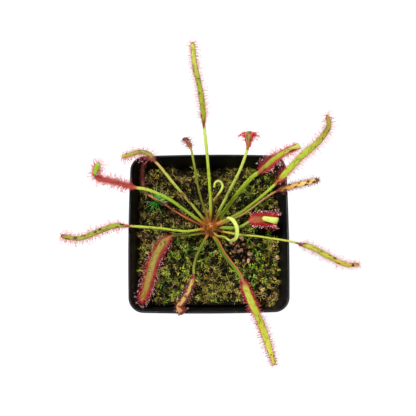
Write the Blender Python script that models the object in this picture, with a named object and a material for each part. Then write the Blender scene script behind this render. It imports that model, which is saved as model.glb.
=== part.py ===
"""A Cape sundew in a square black nursery pot, with moss over its soil.

The origin is the centre of the pot's base, +Z is up and +Y is the back. Lengths are in metres.
Heights in the leaf routes are above the surface that the pot stands on.
"""

import math
import random
from dataclasses import dataclass

import bmesh
import bpy
from mathutils import Vector, noise

MM = 0.001
SEED = 11
GAP = 0.3 * MM

# The pot: a thin tapered square shell whose soft sides bow outwards
RIM_HALF = 45 * MM
BASE_HALF = 31 * MM
POT_HEIGHT = 80 * MM
WALL = 0.9 * MM
FLOOR = 1.2 * MM
LIP_WALL = 1.2 * MM
LIP_DEPTH = 9 * MM
CORNER_RADIUS = 8 * MM
RIM_BOW = 0.85 * MM
BASE_BOW = 0.2 * MM
EDGE_ROUND = 0.5 * MM
CORNER_STEPS = 6
SIDE_STEPS = 4
DRAIN_RADIUS = 3 * MM
DRAIN_REACH = 20 * MM
DRAIN_SIDES = 12
DRAIN_COUNT = 8
DRAIN_CORNER_REACH = 24 * MM

# The soil and the moss over it
SOIL_TOP = 61 * MM
MOSS_FLOOR = SOIL_TOP + GAP
MOSS_DEPTH = 2.4 * MM
MOSS_RINGS = 12
MOSS_STEPS_PER_SIDE = 12
MOSS_THIN = 0.7 * MM
SPRIG_LENGTH = 2.2 * MM
SPRIG_SHARE = 0.16
SPRIG_ROOT = 0.55
SPRIG_LEAN = 0.4
CUSHION_SPAN = 9 * MM
CUSHION_RISE = 1.5 * MM
RIPPLE_SPAN = 3.2 * MM
RIPPLE_RISE = 0.9 * MM
RIPPLE_PLACE = Vector((7, 3, 1))
RING_CROWDING = 0.8
BARE_PATCH = Vector((25 * MM, -9 * MM))
BARE_RADIUS = 7 * MM

# The crown, where every leaf starts
CROWN_X = 1.5 * MM
CROWN_Y = 4.3 * MM
CROWN_SIDES = 12
CROWN_FOOT = 50 * MM
CROWN_PROFILE = (
    (CROWN_FOOT, 2.6 * MM),
    (53 * MM, 3.4 * MM),
    (64 * MM, 3.6 * MM),
    (68 * MM, 3.6 * MM),
    (72 * MM, 3.5 * MM),
    (75 * MM, 2.9 * MM),
    (77 * MM, 1.8 * MM),
    (78 * MM, 0.7 * MM),
)
CROWN_HOLE = 4 * MM
CROWN_HOLE_FLOOR = CROWN_FOOT - GAP
LEAF_SEAT = 0.75 * MM
STIPULE_LENGTH = 1.6 * MM
STIPULE_LEVELS = (5, 6)
STIPULE_LEAN = 0.15
STIPULE_ROOT = 0.45

# Leaves: a narrow stalk, then a blade with gland-tipped tentacles on one face and both edges
STALK_STEP = 8 * MM
BLADE_STEP = 2.4 * MM
CURL_STEP = 1.15 * MM
STALK_THICK = 1.1 * MM
BLADE_THICK = 0.8 * MM
TENTACLE_REACH = 3.6 * MM
TENTACLE_ROOT = 0.3
TENTACLE_DROOP = 0.45
FACE_TENTACLE = 2.2 * MM
TENTACLE_LEAN = 0.35
TIP_ROUND = 0.45
CURL_CLOSING = 0.35
BLADE_OPENING = 6
TAPER_START = 0.5
MIDRIB_SHARE = 0.5

# The hair-cap moss tuft and the scraps that lie on the moss
TUFT_X = -31 * MM
TUFT_Y = 19.5 * MM
TUFT_PAD = 6.5 * MM
TUFT_CORE = 2.2 * MM
TUFT_REACH = 7 * MM
TUFT_LEVEL = MOSS_FLOOR + 1.4 * MM
TUFT_SIDES = 12
TUFT_PROFILE = ((0.0, 1.0), (1.0, 1.0), (2.0, 0.8), (2.8, 0.45))
TUFT_NEEDLES = ((0.25, 1, 0.9), (0.75, 1, 0.8), (1.25, 2, 0.7))
TUFT_ROOT = 0.6
TUFT_LEAN = 0.1
SCRAP_PAD_LEVEL = MOSS_FLOOR + 1.6 * MM


@dataclass(frozen=True)
class Leaf:
    """One leaf. The route runs from the first point past the crown to the tip, in millimetres."""

    name: str
    azimuth: float
    seat_height: float
    route: tuple
    joint: int
    stalk_width: float
    blade_width: float
    tip_width: float
    face: int = -1
    curl_radius: float = 0.0
    curl_angle: float = 0.0
    roll: float = 0.0
    fringe: float = 1.0
    face_row: bool = True
    fringed_curl: bool = False
    bare_end: int = 0
    on_edge: bool = False
    colour: tuple = (0.45, 0.50, 0.08)


LEAVES = (
    Leaf(
        name="leaf_back_tall",
        azimuth=92,
        seat_height=71,
        route=((1, 20.5, 82), (0, 34.5, 94), (-1.5, 52.5, 107), (-2.5, 63, 113), (-4.5, 74.5, 117),
               (-6.5, 85, 119.5), (-8, 97, 120)),
        joint=3,
        stalk_width=1.7,
        blade_width=3.0,
        tip_width=1.8,
    ),
    Leaf(
        name="leaf_back_left_short",
        azimuth=112,
        seat_height=73.5,
        route=((-5, 21.5, 86), (-8, 36.5, 97), (-9.5, 43.5, 101), (-11.5, 48, 102), (-13.5, 50, 99.5)),
        joint=3,
        stalk_width=1.2,
        blade_width=2.2,
        tip_width=1.6,
        fringe=0.75,
        colour=(0.30, 0.12, 0.05),
    ),
    Leaf(
        name="leaf_back_right_hooked",
        azimuth=62,
        seat_height=73.5,
        route=((11, 21, 88), (17.5, 31.5, 102), (22, 40.5, 112), (23, 44.5, 114.5)),
        joint=3,
        stalk_width=1.6,
        blade_width=2.6,
        tip_width=2.0,
        face=1,
        curl_radius=3.0,
        curl_angle=200,
        roll=115,
        fringe=0.8,
        face_row=False,
        fringed_curl=True,
        colour=(0.45, 0.12, 0.10),
    ),
    Leaf(
        name="leaf_right_upper",
        azimuth=47,
        seat_height=71,
        route=((17, 22.5, 82), (25, 30.5, 88), (29, 33, 90), (36, 39, 92), (42.5, 43.5, 92.5),
               (49, 45.5, 92)),
        joint=3,
        stalk_width=2.4,
        blade_width=3.0,
        tip_width=2.6,
        curl_radius=1.7,
        curl_angle=250,
        face_row=False,
    ),
    Leaf(
        name="leaf_right_long",
        azimuth=24,
        seat_height=73.5,
        route=((18.5, 11.5, 81), (29.5, 19, 87), (38, 26, 91), (43, 31, 95), (51.5, 39, 102),
               (60, 45.5, 108), (65, 52.5, 112), (64.5, 58, 113)),
        joint=3,
        stalk_width=1.7,
        blade_width=3.6,
        tip_width=1.9,
    ),
    Leaf(
        name="leaf_right_withered",
        azimuth=22,
        seat_height=68,
        route=((20.5, 12, 73), (32.5, 20, 78), (39.5, 23.5, 82), (48.5, 26, 86), (55, 27.5, 87),
               (62, 28, 86)),
        joint=3,
        stalk_width=1.2,
        blade_width=2.3,
        tip_width=1.5,
        fringe=0.7,
        colour=(0.70, 0.33, 0.10),
    ),
    Leaf(
        name="leaf_right_folded",
        azimuth=0,
        seat_height=71,
        route=((17, 3.5, 75.5), (23.5, 6.5, 78), (28.5, 7.5, 78.5), (38, 7.2, 78.5), (40.5, 7, 80.2),
               (39, 7, 82), (32, 7.5, 83.2)),
        joint=2,
        stalk_width=1.8,
        blade_width=3.8,
        tip_width=3.0,
        face=1,
        face_row=False,
        bare_end=5,
        colour=(0.50, 0.10, 0.09),
    ),
    Leaf(
        name="leaf_right_thin",
        azimuth=-20,
        seat_height=68.5,
        route=((17, -0.5, 75), (28.5, -2.5, 80), (45, -6, 85.5), (50, -7.5, 87), (58, -10.5, 89.5),
               (66, -15.5, 91.5), (75, -20, 92.5), (82, -20, 91.5)),
        joint=4,
        stalk_width=1.2,
        blade_width=3.1,
        tip_width=1.9,
    ),
    Leaf(
        name="leaf_front_right",
        azimuth=292,
        seat_height=69.5,
        route=((8.5, -11.5, 77), (15.5, -22, 84), (18.5, -27.5, 87), (22, -37.5, 90), (26.5, -48, 90.5),
               (30, -57, 89.5), (33.5, -67.5, 86.5), (35.5, -73.5, 83.5)),
        joint=3,
        stalk_width=2.5,
        blade_width=4.2,
        tip_width=2.8,
    ),
    Leaf(
        name="leaf_front_spotted",
        azimuth=243,
        seat_height=69,
        route=((-6, -10.5, 74.5), (-8.5, -19, 79), (-8.5, -24.5, 81.5), (-10.5, -31.5, 85),
               (-13.5, -37.5, 88), (-16, -42, 89)),
        joint=3,
        stalk_width=1.5,
        blade_width=2.6,
        tip_width=2.4,
        curl_radius=2.2,
        curl_angle=260,
        fringe=0.8,
        face_row=False,
        colour=(0.62, 0.30, 0.12),
    ),
    Leaf(
        name="leaf_left_low",
        azimuth=206,
        seat_height=66.5,
        route=((-9.5, 0.5, 70.5), (-17.5, 0, 72), (-22, -0.8, 72), (-27.5, -6, 71), (-31.5, -13.5, 70.5),
               (-34, -22, 71), (-36, -31, 73), (-38, -37.5, 76)),
        joint=3,
        stalk_width=1.8,
        blade_width=3.8,
        tip_width=2.6,
        fringe=0.9,
        colour=(0.33, 0.22, 0.07),
    ),
    Leaf(
        name="leaf_left_long",
        azimuth=186,
        seat_height=69.5,
        route=((-13.5, 1.5, 75.5), (-28.5, 2.5, 81), (-45, 3, 86), (-52.5, 3, 88), (-61.5, -1, 90),
               (-70.5, -5, 91.5), (-77, -4.5, 91), (-81.5, -3, 89.5)),
        joint=4,
        stalk_width=1.4,
        blade_width=2.9,
        tip_width=1.9,
    ),
    Leaf(
        name="leaf_left_upper_red",
        azimuth=152,
        seat_height=69,
        route=((-13, 13, 77.5), (-23, 19, 84.5), (-34, 23, 89.5), (-41.5, 24, 91.5), (-49.5, 26, 93),
               (-57, 27.5, 93.5), (-61.5, 28.5, 94), (-64.3, 30.6, 96), (-63.8, 33.4, 98.4),
               (-61.2, 35.2, 99.4), (-58.6, 35.6, 98.6)),
        joint=4,
        stalk_width=1.9,
        blade_width=2.8,
        tip_width=3.0,
        face=1,
        face_row=False,
        bare_end=3,
        colour=(0.50, 0.08, 0.09),
    ),
    Leaf(
        name="leaf_back_left_arching",
        azimuth=134,
        seat_height=71.5,
        route=((-10.5, 16.5, 85), (-19, 25, 95), (-26.5, 33.5, 101), (-29.5, 36.5, 102.5), (-32.5, 40, 103.5),
               (-37.5, 41.5, 103), (-42.5, 41, 100.5), (-48, 40.5, 96)),
        joint=4,
        stalk_width=1.5,
        blade_width=2.2,
        tip_width=1.5,
        colour=(0.38, 0.30, 0.10),
    ),
    Leaf(
        name="leaf_left_withered",
        azimuth=160,
        seat_height=66.5,
        route=((-14.5, 11, 70), (-25.5, 18, 72), (-35.5, 24, 73), (-38, 29.5, 74), (-38.5, 35.5, 76.5),
               (-37, 40, 80)),
        joint=3,
        stalk_width=1.2,
        blade_width=2.0,
        tip_width=1.4,
        fringe=0.6,
        colour=(0.26, 0.10, 0.06),
    ),
    Leaf(
        name="young_leaf_back",
        azimuth=84,
        seat_height=75,
        route=((3, 15, 89), (3, 21, 96), (3.7, 24, 99)),
        joint=2,
        stalk_width=1.5,
        blade_width=1.8,
        tip_width=1.2,
        curl_radius=2.6,
        curl_angle=320,
        fringe=0.0,
        on_edge=True,
        colour=(0.55, 0.60, 0.15),
    ),
    Leaf(
        name="young_leaf_front",
        azimuth=292,
        seat_height=74.5,
        route=((5, -1.8, 78), (9, -3, 81.7), (12, -5.5, 85), (15.3, -4, 88), (15.7, 1, 89.5),
               (13.5, 5.5, 89), (10.5, 7.3, 87)),
        joint=3,
        stalk_width=1.5,
        blade_width=1.9,
        tip_width=1.1,
        fringe=0.0,
        on_edge=True,
        colour=(0.60, 0.62, 0.20),
    ),
)


def clear_scene():
    """Removes whatever the file holds, so that only the plant is left."""
    for obj in list(bpy.data.objects):
        bpy.data.objects.remove(obj, do_unlink=True)


def make_material(name, colour, roughness, metallic=0.0):
    """A Principled material for one piece."""
    material = bpy.data.materials.new(name)
    material.use_nodes = True
    shader = material.node_tree.nodes["Principled BSDF"]
    shader.inputs["Base Color"].default_value = (*colour, 1.0)
    shader.inputs["Roughness"].default_value = roughness
    shader.inputs["Metallic"].default_value = metallic
    return material


def add_object(name, bm, colour, roughness):
    """Turns a finished bmesh into an object with faces out and its own material."""
    bmesh.ops.recalc_face_normals(bm, faces=bm.faces)
    mesh = bpy.data.meshes.new(name)
    bm.to_mesh(mesh)
    bm.free()
    obj = bpy.data.objects.new(name, mesh)
    bpy.context.scene.collection.objects.link(obj)
    mesh.materials.append(make_material(name, colour, roughness))
    return obj


def add_loop(bm, points):
    """Adds one closed ring of vertices."""
    return [bm.verts.new(point) for point in points]


def bridge(bm, first, second):
    """Joins two rings of the same count with quads."""
    count = len(first)
    faces = []
    for i in range(count):
        j = (i + 1) % count
        faces.append(bm.faces.new((first[i], first[j], second[j], second[i])))
    return faces


def rounded_square(half, radius, bow, corner_steps, side_steps):
    """Outline of a square with round corners and sides that bow out in the middle."""
    points = []
    reach = half - radius
    for corner in range(4):
        start = corner * math.pi / 2
        ahead = Vector((math.cos(start), math.sin(start)))
        left = Vector((-ahead.y, ahead.x))
        for step in range(side_steps):
            along = -reach + 2 * reach * step / side_steps
            points.append(ahead * half + left * along)
        centre = (ahead + left) * reach
        for step in range(corner_steps):
            angle = start + math.pi / 2 * step / corner_steps
            points.append(centre + Vector((math.cos(angle), math.sin(angle))) * radius)
    for point in points:
        u = point.x / half
        v = point.y / half
        point.x *= 1 + bow / half * (1 - v * v)
        point.y *= 1 + bow / half * (1 - u * u)
    return points


def pot_outline(height, inset, corner_steps=CORNER_STEPS, side_steps=SIDE_STEPS):
    """The pot's outer outline at a height, moved in by inset, as points at that height."""
    share = height / POT_HEIGHT
    half = BASE_HALF + (RIM_HALF - BASE_HALF) * share - inset
    bow = BASE_BOW + (RIM_BOW - BASE_BOW) * share
    flat = rounded_square(half, CORNER_RADIUS - inset, bow, corner_steps, side_steps)
    return [Vector((point.x, point.y, height)) for point in flat]


def pot_rings():
    """Rings of the pot's wall, from the foot up outside and down inside to the floor."""
    lip_foot = POT_HEIGHT - LIP_DEPTH
    body = LIP_WALL - WALL
    yield pot_outline(0, body + EDGE_ROUND)
    yield pot_outline(EDGE_ROUND, body)
    yield pot_outline(lip_foot, body)
    yield pot_outline(lip_foot + EDGE_ROUND, 0)
    yield pot_outline(POT_HEIGHT - EDGE_ROUND / 2, 0)
    yield pot_outline(POT_HEIGHT, EDGE_ROUND / 2)
    yield pot_outline(POT_HEIGHT, LIP_WALL - EDGE_ROUND / 2)
    yield pot_outline(POT_HEIGHT - EDGE_ROUND / 2, LIP_WALL)
    yield pot_outline(FLOOR + EDGE_ROUND, LIP_WALL)
    yield pot_outline(FLOOR, LIP_WALL + EDGE_ROUND)


def make_pot():
    """The pot, with drain holes cut round the middle of its floor."""
    bm = bmesh.new()
    loops = [add_loop(bm, ring) for ring in pot_rings()]
    for lower, upper in zip(loops, loops[1:]):
        bridge(bm, lower, upper)
    bm.faces.new(loops[0])
    bm.faces.new(loops[-1])
    pot = add_object("pot", bm, (0.012, 0.012, 0.015), 0.45)
    cut = pot.modifiers.new("drain_holes", "BOOLEAN")
    cut.operation = "DIFFERENCE"
    cut.object = make_drain_cutter()
    return pot


def make_drain_cutter():
    """Eight pegs round the middle, which cut the drain holes."""
    bm = bmesh.new()
    for index in range(DRAIN_COUNT):
        angle = index * math.tau / DRAIN_COUNT
        reach = DRAIN_CORNER_REACH if index % 2 else DRAIN_REACH
        centre = Vector((math.cos(angle), math.sin(angle), 0)) * reach
        rings = []
        for height in (-FLOOR, 2 * FLOOR):
            ring = []
            for side in range(DRAIN_SIDES):
                turn = side * math.tau / DRAIN_SIDES
                spot = Vector((math.cos(turn), math.sin(turn), 0)) * DRAIN_RADIUS
                ring.append(centre + spot + Vector((0, 0, height)))
            rings.append(add_loop(bm, ring))
        bridge(bm, *rings)
        bm.faces.new(rings[0])
        bm.faces.new(rings[1])
    cutter = add_object("drain_cutter", bm, (0.5, 0.5, 0.5), 0.5)
    cutter.hide_render = True
    cutter.display_type = "WIRE"
    return cutter


def crown_ring(height, radius, like):
    """A ring round the crown with one point for each point of another outline."""
    centre = Vector((CROWN_X, CROWN_Y))
    ring = []
    for point in like:
        away = (Vector(point[:2]) - centre).normalized() * radius
        ring.append(Vector((centre.x + away.x, centre.y + away.y, height)))
    return ring


def make_soil():
    """The soil fills the pot, with a plain hole where the crown's root stands."""
    side = LIP_WALL + GAP
    foot = FLOOR + GAP
    top = pot_outline(SOIL_TOP, side)
    rings = (
        pot_outline(foot, side + EDGE_ROUND),
        pot_outline(foot + EDGE_ROUND, side),
        top,
        crown_ring(SOIL_TOP, CROWN_HOLE, top),
        crown_ring(CROWN_HOLE_FLOOR, CROWN_HOLE, top),
    )
    bm = bmesh.new()
    loops = [add_loop(bm, ring) for ring in rings]
    for lower, upper in zip(loops, loops[1:]):
        bridge(bm, lower, upper)
    bm.faces.new(loops[0])
    bm.faces.new(loops[-1])
    return add_object("soil", bm, (0.035, 0.022, 0.014), 0.95)


def moss_pads():
    """Flat places in the moss: (x, y, radius, level) under each thing that rests on it."""
    yield TUFT_X, TUFT_Y, TUFT_PAD, TUFT_LEVEL
    for scrap in SCRAPS:
        yield scrap.x * MM, scrap.y * MM, scrap.pad * MM, SCRAP_PAD_LEVEL


def moss_height(x, y):
    """Height of the moss: cushions and tufts, thin over the bare patch, level under what rests on it."""
    spot = Vector((x, y, 0))
    cushions = noise.noise(spot / CUSHION_SPAN) * CUSHION_RISE
    ripples = noise.noise(spot / RIPPLE_SPAN + RIPPLE_PLACE) * RIPPLE_RISE
    height = MOSS_DEPTH + cushions + ripples
    bare = (Vector((x, y)) - BARE_PATCH).length / BARE_RADIUS
    if bare < 1:
        height *= bare * bare
    height = MOSS_FLOOR + max(height, MOSS_THIN)
    for pad_x, pad_y, radius, level in moss_pads():
        near = math.hypot(x - pad_x, y - pad_y) / radius
        if near < 1:
            height = level
        elif near < 2:
            height = level + (height - level) * (near - 1)
    return height


def free_moss(spot):
    """True where nothing lies on the moss and it isn't bare."""
    if (Vector((spot.x, spot.y)) - BARE_PATCH).length < BARE_RADIUS:
        return False
    return all(math.hypot(spot.x - x, spot.y - y) > radius for x, y, radius, _ in moss_pads())


def make_moss(rng):
    """The moss carpet over the soil, from the pot's wall to the crown, with some larger sprigs."""
    edge = LIP_WALL + GAP
    outer = pot_outline(MOSS_FLOOR, edge, side_steps=MOSS_STEPS_PER_SIDE)
    inner = crown_ring(MOSS_FLOOR, CROWN_HOLE, outer)
    bm = bmesh.new()
    foot = add_loop(bm, outer)
    loops = [foot]
    for step in range(MOSS_RINGS + 1):
        share = (step / MOSS_RINGS) ** RING_CROWDING
        ring = []
        for start, end in zip(outer, inner):
            spot = start.lerp(end, share)
            spot.z = moss_height(spot.x, spot.y)
            ring.append(spot)
        loops.append(add_loop(bm, ring))
    loops.append(add_loop(bm, inner))
    bands = [bridge(bm, lower, upper) for lower, upper in zip(loops, loops[1:])]
    bridge(bm, loops[-1], foot)
    for band in bands[2:-3]:
        for face in band:
            if rng.random() < SPRIG_SHARE and free_moss(face.calc_center_median()):
                lean = Vector((rng.uniform(-SPRIG_LEAN, SPRIG_LEAN), rng.uniform(-SPRIG_LEAN, SPRIG_LEAN), 1))
                raise_point(bm, face, lean, SPRIG_LENGTH * rng.uniform(0.7, 1.1), SPRIG_ROOT)
    return add_object("moss", bm, (0.10, 0.13, 0.02), 0.9)


def make_crown():
    """The crown: a short stub rooted in the soil, with papery stipules round its top."""
    bm = bmesh.new()
    loops = []
    for height, radius in CROWN_PROFILE:
        ring = []
        for side in range(CROWN_SIDES):
            turn = side * math.tau / CROWN_SIDES
            ring.append(
                Vector((CROWN_X + math.cos(turn) * radius, CROWN_Y + math.sin(turn) * radius, height))
            )
        loops.append(add_loop(bm, ring))
    bands = [bridge(bm, lower, upper) for lower, upper in zip(loops, loops[1:])]
    bm.faces.new(loops[0])
    bm.faces.new(loops[-1])
    bm.normal_update()
    axis = Vector((CROWN_X, CROWN_Y, 0))
    for level in STIPULE_LEVELS:
        for face in bands[level]:
            away = face.calc_center_median() - axis
            away.z = 0
            lift = away.normalized() * STIPULE_LEAN + Vector((0, 0, 1))
            raise_point(bm, face, lift, STIPULE_LENGTH, STIPULE_ROOT)
    return add_object("crown", bm, (0.30, 0.08, 0.03), 0.8)


def raise_point(bm, face, direction, length, root):
    """Raises one tapering point from a face, with a root that is that share of the face."""
    centre = face.calc_center_median()
    corners = [vert.co.lerp(centre, 1 - root) for vert in face.verts]
    ring = list(face.verts)
    inner = [bm.verts.new(corner) for corner in corners]
    tip = bm.verts.new(centre + direction.normalized() * length)
    bm.faces.remove(face)
    count = len(ring)
    for i in range(count):
        j = (i + 1) % count
        bm.faces.new((ring[i], ring[j], inner[j], inner[i]))
        bm.faces.new((inner[i], inner[j], tip))


def smooth_point(points, index, share):
    """A point on the smooth curve through the route, between one point and the next."""
    before = points[max(index - 1, 0)]
    here = points[index]
    after = points[min(index + 1, len(points) - 1)]
    beyond = points[min(index + 2, len(points) - 1)]
    square = share * share
    cube = square * share
    return 0.5 * (
        2 * here
        + (after - before) * share
        + (2 * before - 5 * here + 4 * after - beyond) * square
        + (3 * here - before - 3 * after + beyond) * cube
    )


def crown_radius(height):
    """The crown's radius at a height, between the rings of its profile."""
    for (low, first), (high, second) in zip(CROWN_PROFILE, CROWN_PROFILE[1:]):
        if height <= high:
            return first + (second - first) * (height - low) / (high - low)
    return CROWN_PROFILE[-1][1]


def seat_point(leaf):
    """Where a leaf meets the crown."""
    turn = math.radians(leaf.azimuth)
    height = leaf.seat_height * MM
    reach = crown_radius(height) + LEAF_SEAT
    return Vector((CROWN_X + math.cos(turn) * reach, CROWN_Y + math.sin(turn) * reach, height))


def leaf_line(leaf):
    """Stations along a leaf: lists of points, and the number of the station where the blade starts."""
    points = [seat_point(leaf)] + [Vector(spot) * MM for spot in leaf.route]
    line = [points[0]]
    blade_start = 0
    for index in range(len(points) - 1):
        step = STALK_STEP if index < leaf.joint else BLADE_STEP
        span = (points[index + 1] - points[index]).length
        count = max(1, round(span / step))
        for part in range(1, count + 1):
            line.append(smooth_point(points, index, part / count))
        if index == leaf.joint - 1:
            blade_start = len(line) - 1
    return line, blade_start


def frames_along(line, on_edge):
    """Tangent, side and up directions at each station, carried along the line without twist."""
    frames = []
    side = None
    for index, _ in enumerate(line):
        tangent = (line[min(index + 1, len(line) - 1)] - line[max(index - 1, 0)]).normalized()
        if side is None:
            level = tangent.cross(Vector((0, 0, 1))).normalized()
            side = level.cross(tangent).normalized() if on_edge else level
        side = (side - tangent * side.dot(tangent)).normalized()
        up = side.cross(tangent).normalized()
        frames.append((tangent, side, up))
    return frames


def turn_frames(frames, last, roll):
    """Twists the leaf about its own line, more and more up to the last station of its stalk."""
    for index, (tangent, side, up) in enumerate(frames):
        turn = math.radians(roll) * min(1.0, index / max(1, last))
        turned_side = side * math.cos(turn) + up * math.sin(turn)
        turned_up = up * math.cos(turn) - side * math.sin(turn)
        frames[index] = (tangent, turned_side, turned_up)


def add_curl(leaf, line, frames):
    """Rolls the tip of a leaf over towards its tentacled face, as an arc that closes in slightly."""
    radius = leaf.curl_radius * MM
    angle = math.radians(leaf.curl_angle)
    tangent, side, up = frames[-1]
    inward = up * leaf.face
    count = max(3, math.ceil(radius * angle / CURL_STEP))
    start = line[-1]
    for step in range(1, count + 1):
        turn = angle * step / count
        shrink = 1 - CURL_CLOSING * step / count
        swing = radius * shrink
        spot = start + tangent * math.sin(turn) * swing + inward * (radius - math.cos(turn) * swing)
        ahead = tangent * math.cos(turn) + inward * math.sin(turn)
        line.append(spot)
        frames.append((ahead, side, side.cross(ahead).normalized()))


def add_tip(leaf, line, frames):
    """Carries the leaf on a little past its last station, where it closes."""
    tangent = frames[-1][0]
    line.append(line[-1] + tangent * leaf.tip_width * MM * TIP_ROUND)
    frames.append(frames[-1])


def half_width(leaf, station, blade_start, count):
    """Half of the leaf's width at a station."""
    stalk = leaf.stalk_width * MM / 2
    blade = leaf.blade_width * MM / 2
    tip = leaf.tip_width * MM / 2
    if station < blade_start:
        return stalk
    if station == count - 1:
        return tip * TIP_ROUND
    along = (station - blade_start) / max(1, count - 1 - blade_start)
    opening = min(1.0, along * BLADE_OPENING)
    width = stalk + (blade - stalk) * opening
    closing = max(0.0, (along - TAPER_START) / (1 - TAPER_START))
    return width + (tip - blade) * closing * closing


def add_section(bm, centre, side, up, half, thick):
    """A flat six-sided ring across the leaf, thickest along its middle."""
    flat = MIDRIB_SHARE
    shape = ((-1, 0), (-flat, 1), (flat, 1), (1, 0), (flat, -1), (-flat, -1))
    return add_loop(
        bm, [centre + side * half * across + up * thick / 2 * rise for across, rise in shape]
    )


def fringe_faces(leaf, band):
    """The faces of one band that carry tentacles, with the way each one points sideways."""
    upper = {"left": 0, "middle": 1, "right": 2}
    lower = {"left": 5, "middle": 4, "right": 3}
    places = upper if leaf.face > 0 else lower
    chosen = [(band[places["left"]], -1), (band[places["right"]], 1)]
    if leaf.face_row:
        chosen.append((band[places["middle"]], 0))
    return chosen


def raise_tentacles(bm, leaf, bands, frames, blade_start, rng):
    """Raises the tentacles of a blade, longest at its edges."""
    for number, band in enumerate(bands):
        if number < blade_start or not leaf.fringe:
            continue
        tangent, side, up = frames[number]
        for face, across in fringe_faces(leaf, band):
            if across == 0 and number % 2:
                continue
            lean = tangent * rng.uniform(-TENTACLE_LEAN, TENTACLE_LEAN)
            if across:
                way = side * across + up * leaf.face * TENTACLE_DROOP + lean
                length = TENTACLE_REACH * leaf.fringe * rng.uniform(0.85, 1.1)
            else:
                way = up * leaf.face + lean
                length = FACE_TENTACLE * leaf.fringe * rng.uniform(0.8, 1.1)
            raise_point(bm, face, way, length, TENTACLE_ROOT)


def make_leaf(leaf, rng):
    """One leaf as a single solid: stalk, blade and tentacles."""
    line, blade_start = leaf_line(leaf)
    frames = frames_along(line, leaf.on_edge)
    turn_frames(frames, blade_start, leaf.roll)
    fringed = len(line) - 1 - leaf.bare_end
    if leaf.curl_radius:
        add_curl(leaf, line, frames)
    if leaf.fringed_curl:
        fringed = len(line) - 1
    add_tip(leaf, line, frames)
    bm = bmesh.new()
    loops = []
    for station, (centre, (_, side, up)) in enumerate(zip(line, frames)):
        half = half_width(leaf, station, blade_start, len(line))
        thick = STALK_THICK if station < blade_start else BLADE_THICK
        loops.append(add_section(bm, centre, side, up, half, thick))
    bands = [bridge(bm, near, far) for near, far in zip(loops, loops[1:])]
    bm.faces.new(loops[0])
    end = bm.faces.new(loops[-1])
    if leaf.fringe and not leaf.curl_radius and not leaf.bare_end:
        raise_point(bm, end, frames[-1][0], FACE_TENTACLE * leaf.fringe, TENTACLE_ROOT)
    raise_tentacles(bm, leaf, bands[:fringed], frames, blade_start, rng)
    return add_object(leaf.name, bm, leaf.colour, 0.5)


def make_tuft(rng):
    """The hair-cap moss: a low core with thin needles spreading like a star."""
    base = Vector((TUFT_X, TUFT_Y, TUFT_LEVEL + GAP))
    bm = bmesh.new()
    loops = []
    for level, share in TUFT_PROFILE:
        ring = []
        for side in range(TUFT_SIDES):
            turn = side * math.tau / TUFT_SIDES
            away = Vector((math.cos(turn), math.sin(turn), 0)) * TUFT_CORE * share
            ring.append(base + away + Vector((0, 0, level * MM)))
        loops.append(add_loop(bm, ring))
    bands = [bridge(bm, lower, upper) for lower, upper in zip(loops, loops[1:])]
    bm.faces.new(loops[0])
    bm.faces.new(loops[-1])
    for band, (lift, every, reach) in zip(bands, TUFT_NEEDLES):
        for face in band[::every]:
            away = face.calc_center_median() - base
            away.z = 0
            way = away.normalized() + Vector((0, 0, lift + rng.uniform(-TUFT_LEAN, TUFT_LEAN)))
            raise_point(bm, face, way, TUFT_REACH * reach, TUFT_ROOT)
    return add_object("haircap_moss", bm, (0.02, 0.10, 0.03), 0.7)


@dataclass(frozen=True)
class Scrap:
    """A scrap lying on the moss, in millimetres: its place, its turn in degrees and its size."""

    name: str
    x: float
    y: float
    turn: float
    length: float
    width: float
    thick: float
    pad: float
    colour: tuple


SCRAPS = (
    Scrap("bark_chip", 18.3, -8.5, 20, 4.6, 2.6, 1.4, 5.6, (0.30, 0.17, 0.08)),
    Scrap("bark_chip_pale", 23.2, -14.6, 75, 3.2, 2.0, 1.2, 5.0, (0.45, 0.30, 0.16)),
    Scrap("twig", 30, -34, 8, 7.5, 1.0, 1.0, 7.4, (0.22, 0.13, 0.07)),
)
SCRAP_LENGTHWISE = ((-0.5, 0.45), (-0.3, 0.9), (0.0, 1.0), (0.28, 0.85), (0.5, 0.4))
SCRAP_CROSSWISE = ((-1, 0), (-0.8, 0.7), (0.1, 1), (0.85, 0.6), (1, 0))
SCRAP_ROUGHNESS = (0.85, 1.1)


def make_scrap(scrap, rng):
    """A rough chip or twig with a flat underside."""
    turn = math.radians(scrap.turn)
    along = Vector((math.cos(turn), math.sin(turn), 0))
    across = Vector((-along.y, along.x, 0))
    base = Vector((scrap.x * MM, scrap.y * MM, SCRAP_PAD_LEVEL + GAP))
    bm = bmesh.new()
    loops = []
    for share, fat in SCRAP_LENGTHWISE:
        half = scrap.width * MM / 2 * fat * rng.uniform(*SCRAP_ROUGHNESS)
        rise = scrap.thick * MM * fat * rng.uniform(*SCRAP_ROUGHNESS)
        centre = base + along * scrap.length * MM * share
        ring = [centre + across * half * a + Vector((0, 0, rise * b)) for a, b in SCRAP_CROSSWISE]
        loops.append(add_loop(bm, ring))
    for near, far in zip(loops, loops[1:]):
        bridge(bm, near, far)
    bm.faces.new(loops[0])
    bm.faces.new(loops[-1])
    return add_object(scrap.name, bm, scrap.colour, 0.9)


def main():
    """Builds the potted plant, from the pot up."""
    clear_scene()
    rng = random.Random(SEED)
    make_pot()
    make_soil()
    make_moss(rng)
    make_crown()
    make_tuft(rng)
    for scrap in SCRAPS:
        make_scrap(scrap, rng)
    for leaf in LEAVES:
        make_leaf(leaf, rng)


if __name__ == "__main__":
    main()
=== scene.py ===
"""Looks of the potted sundew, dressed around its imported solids."""

import logging
import math
from dataclasses import dataclass, field, fields
from enum import Enum

import bpy
import numpy as np
from mathutils import Matrix, Vector, noise
from mathutils.bvhtree import BVHTree


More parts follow.
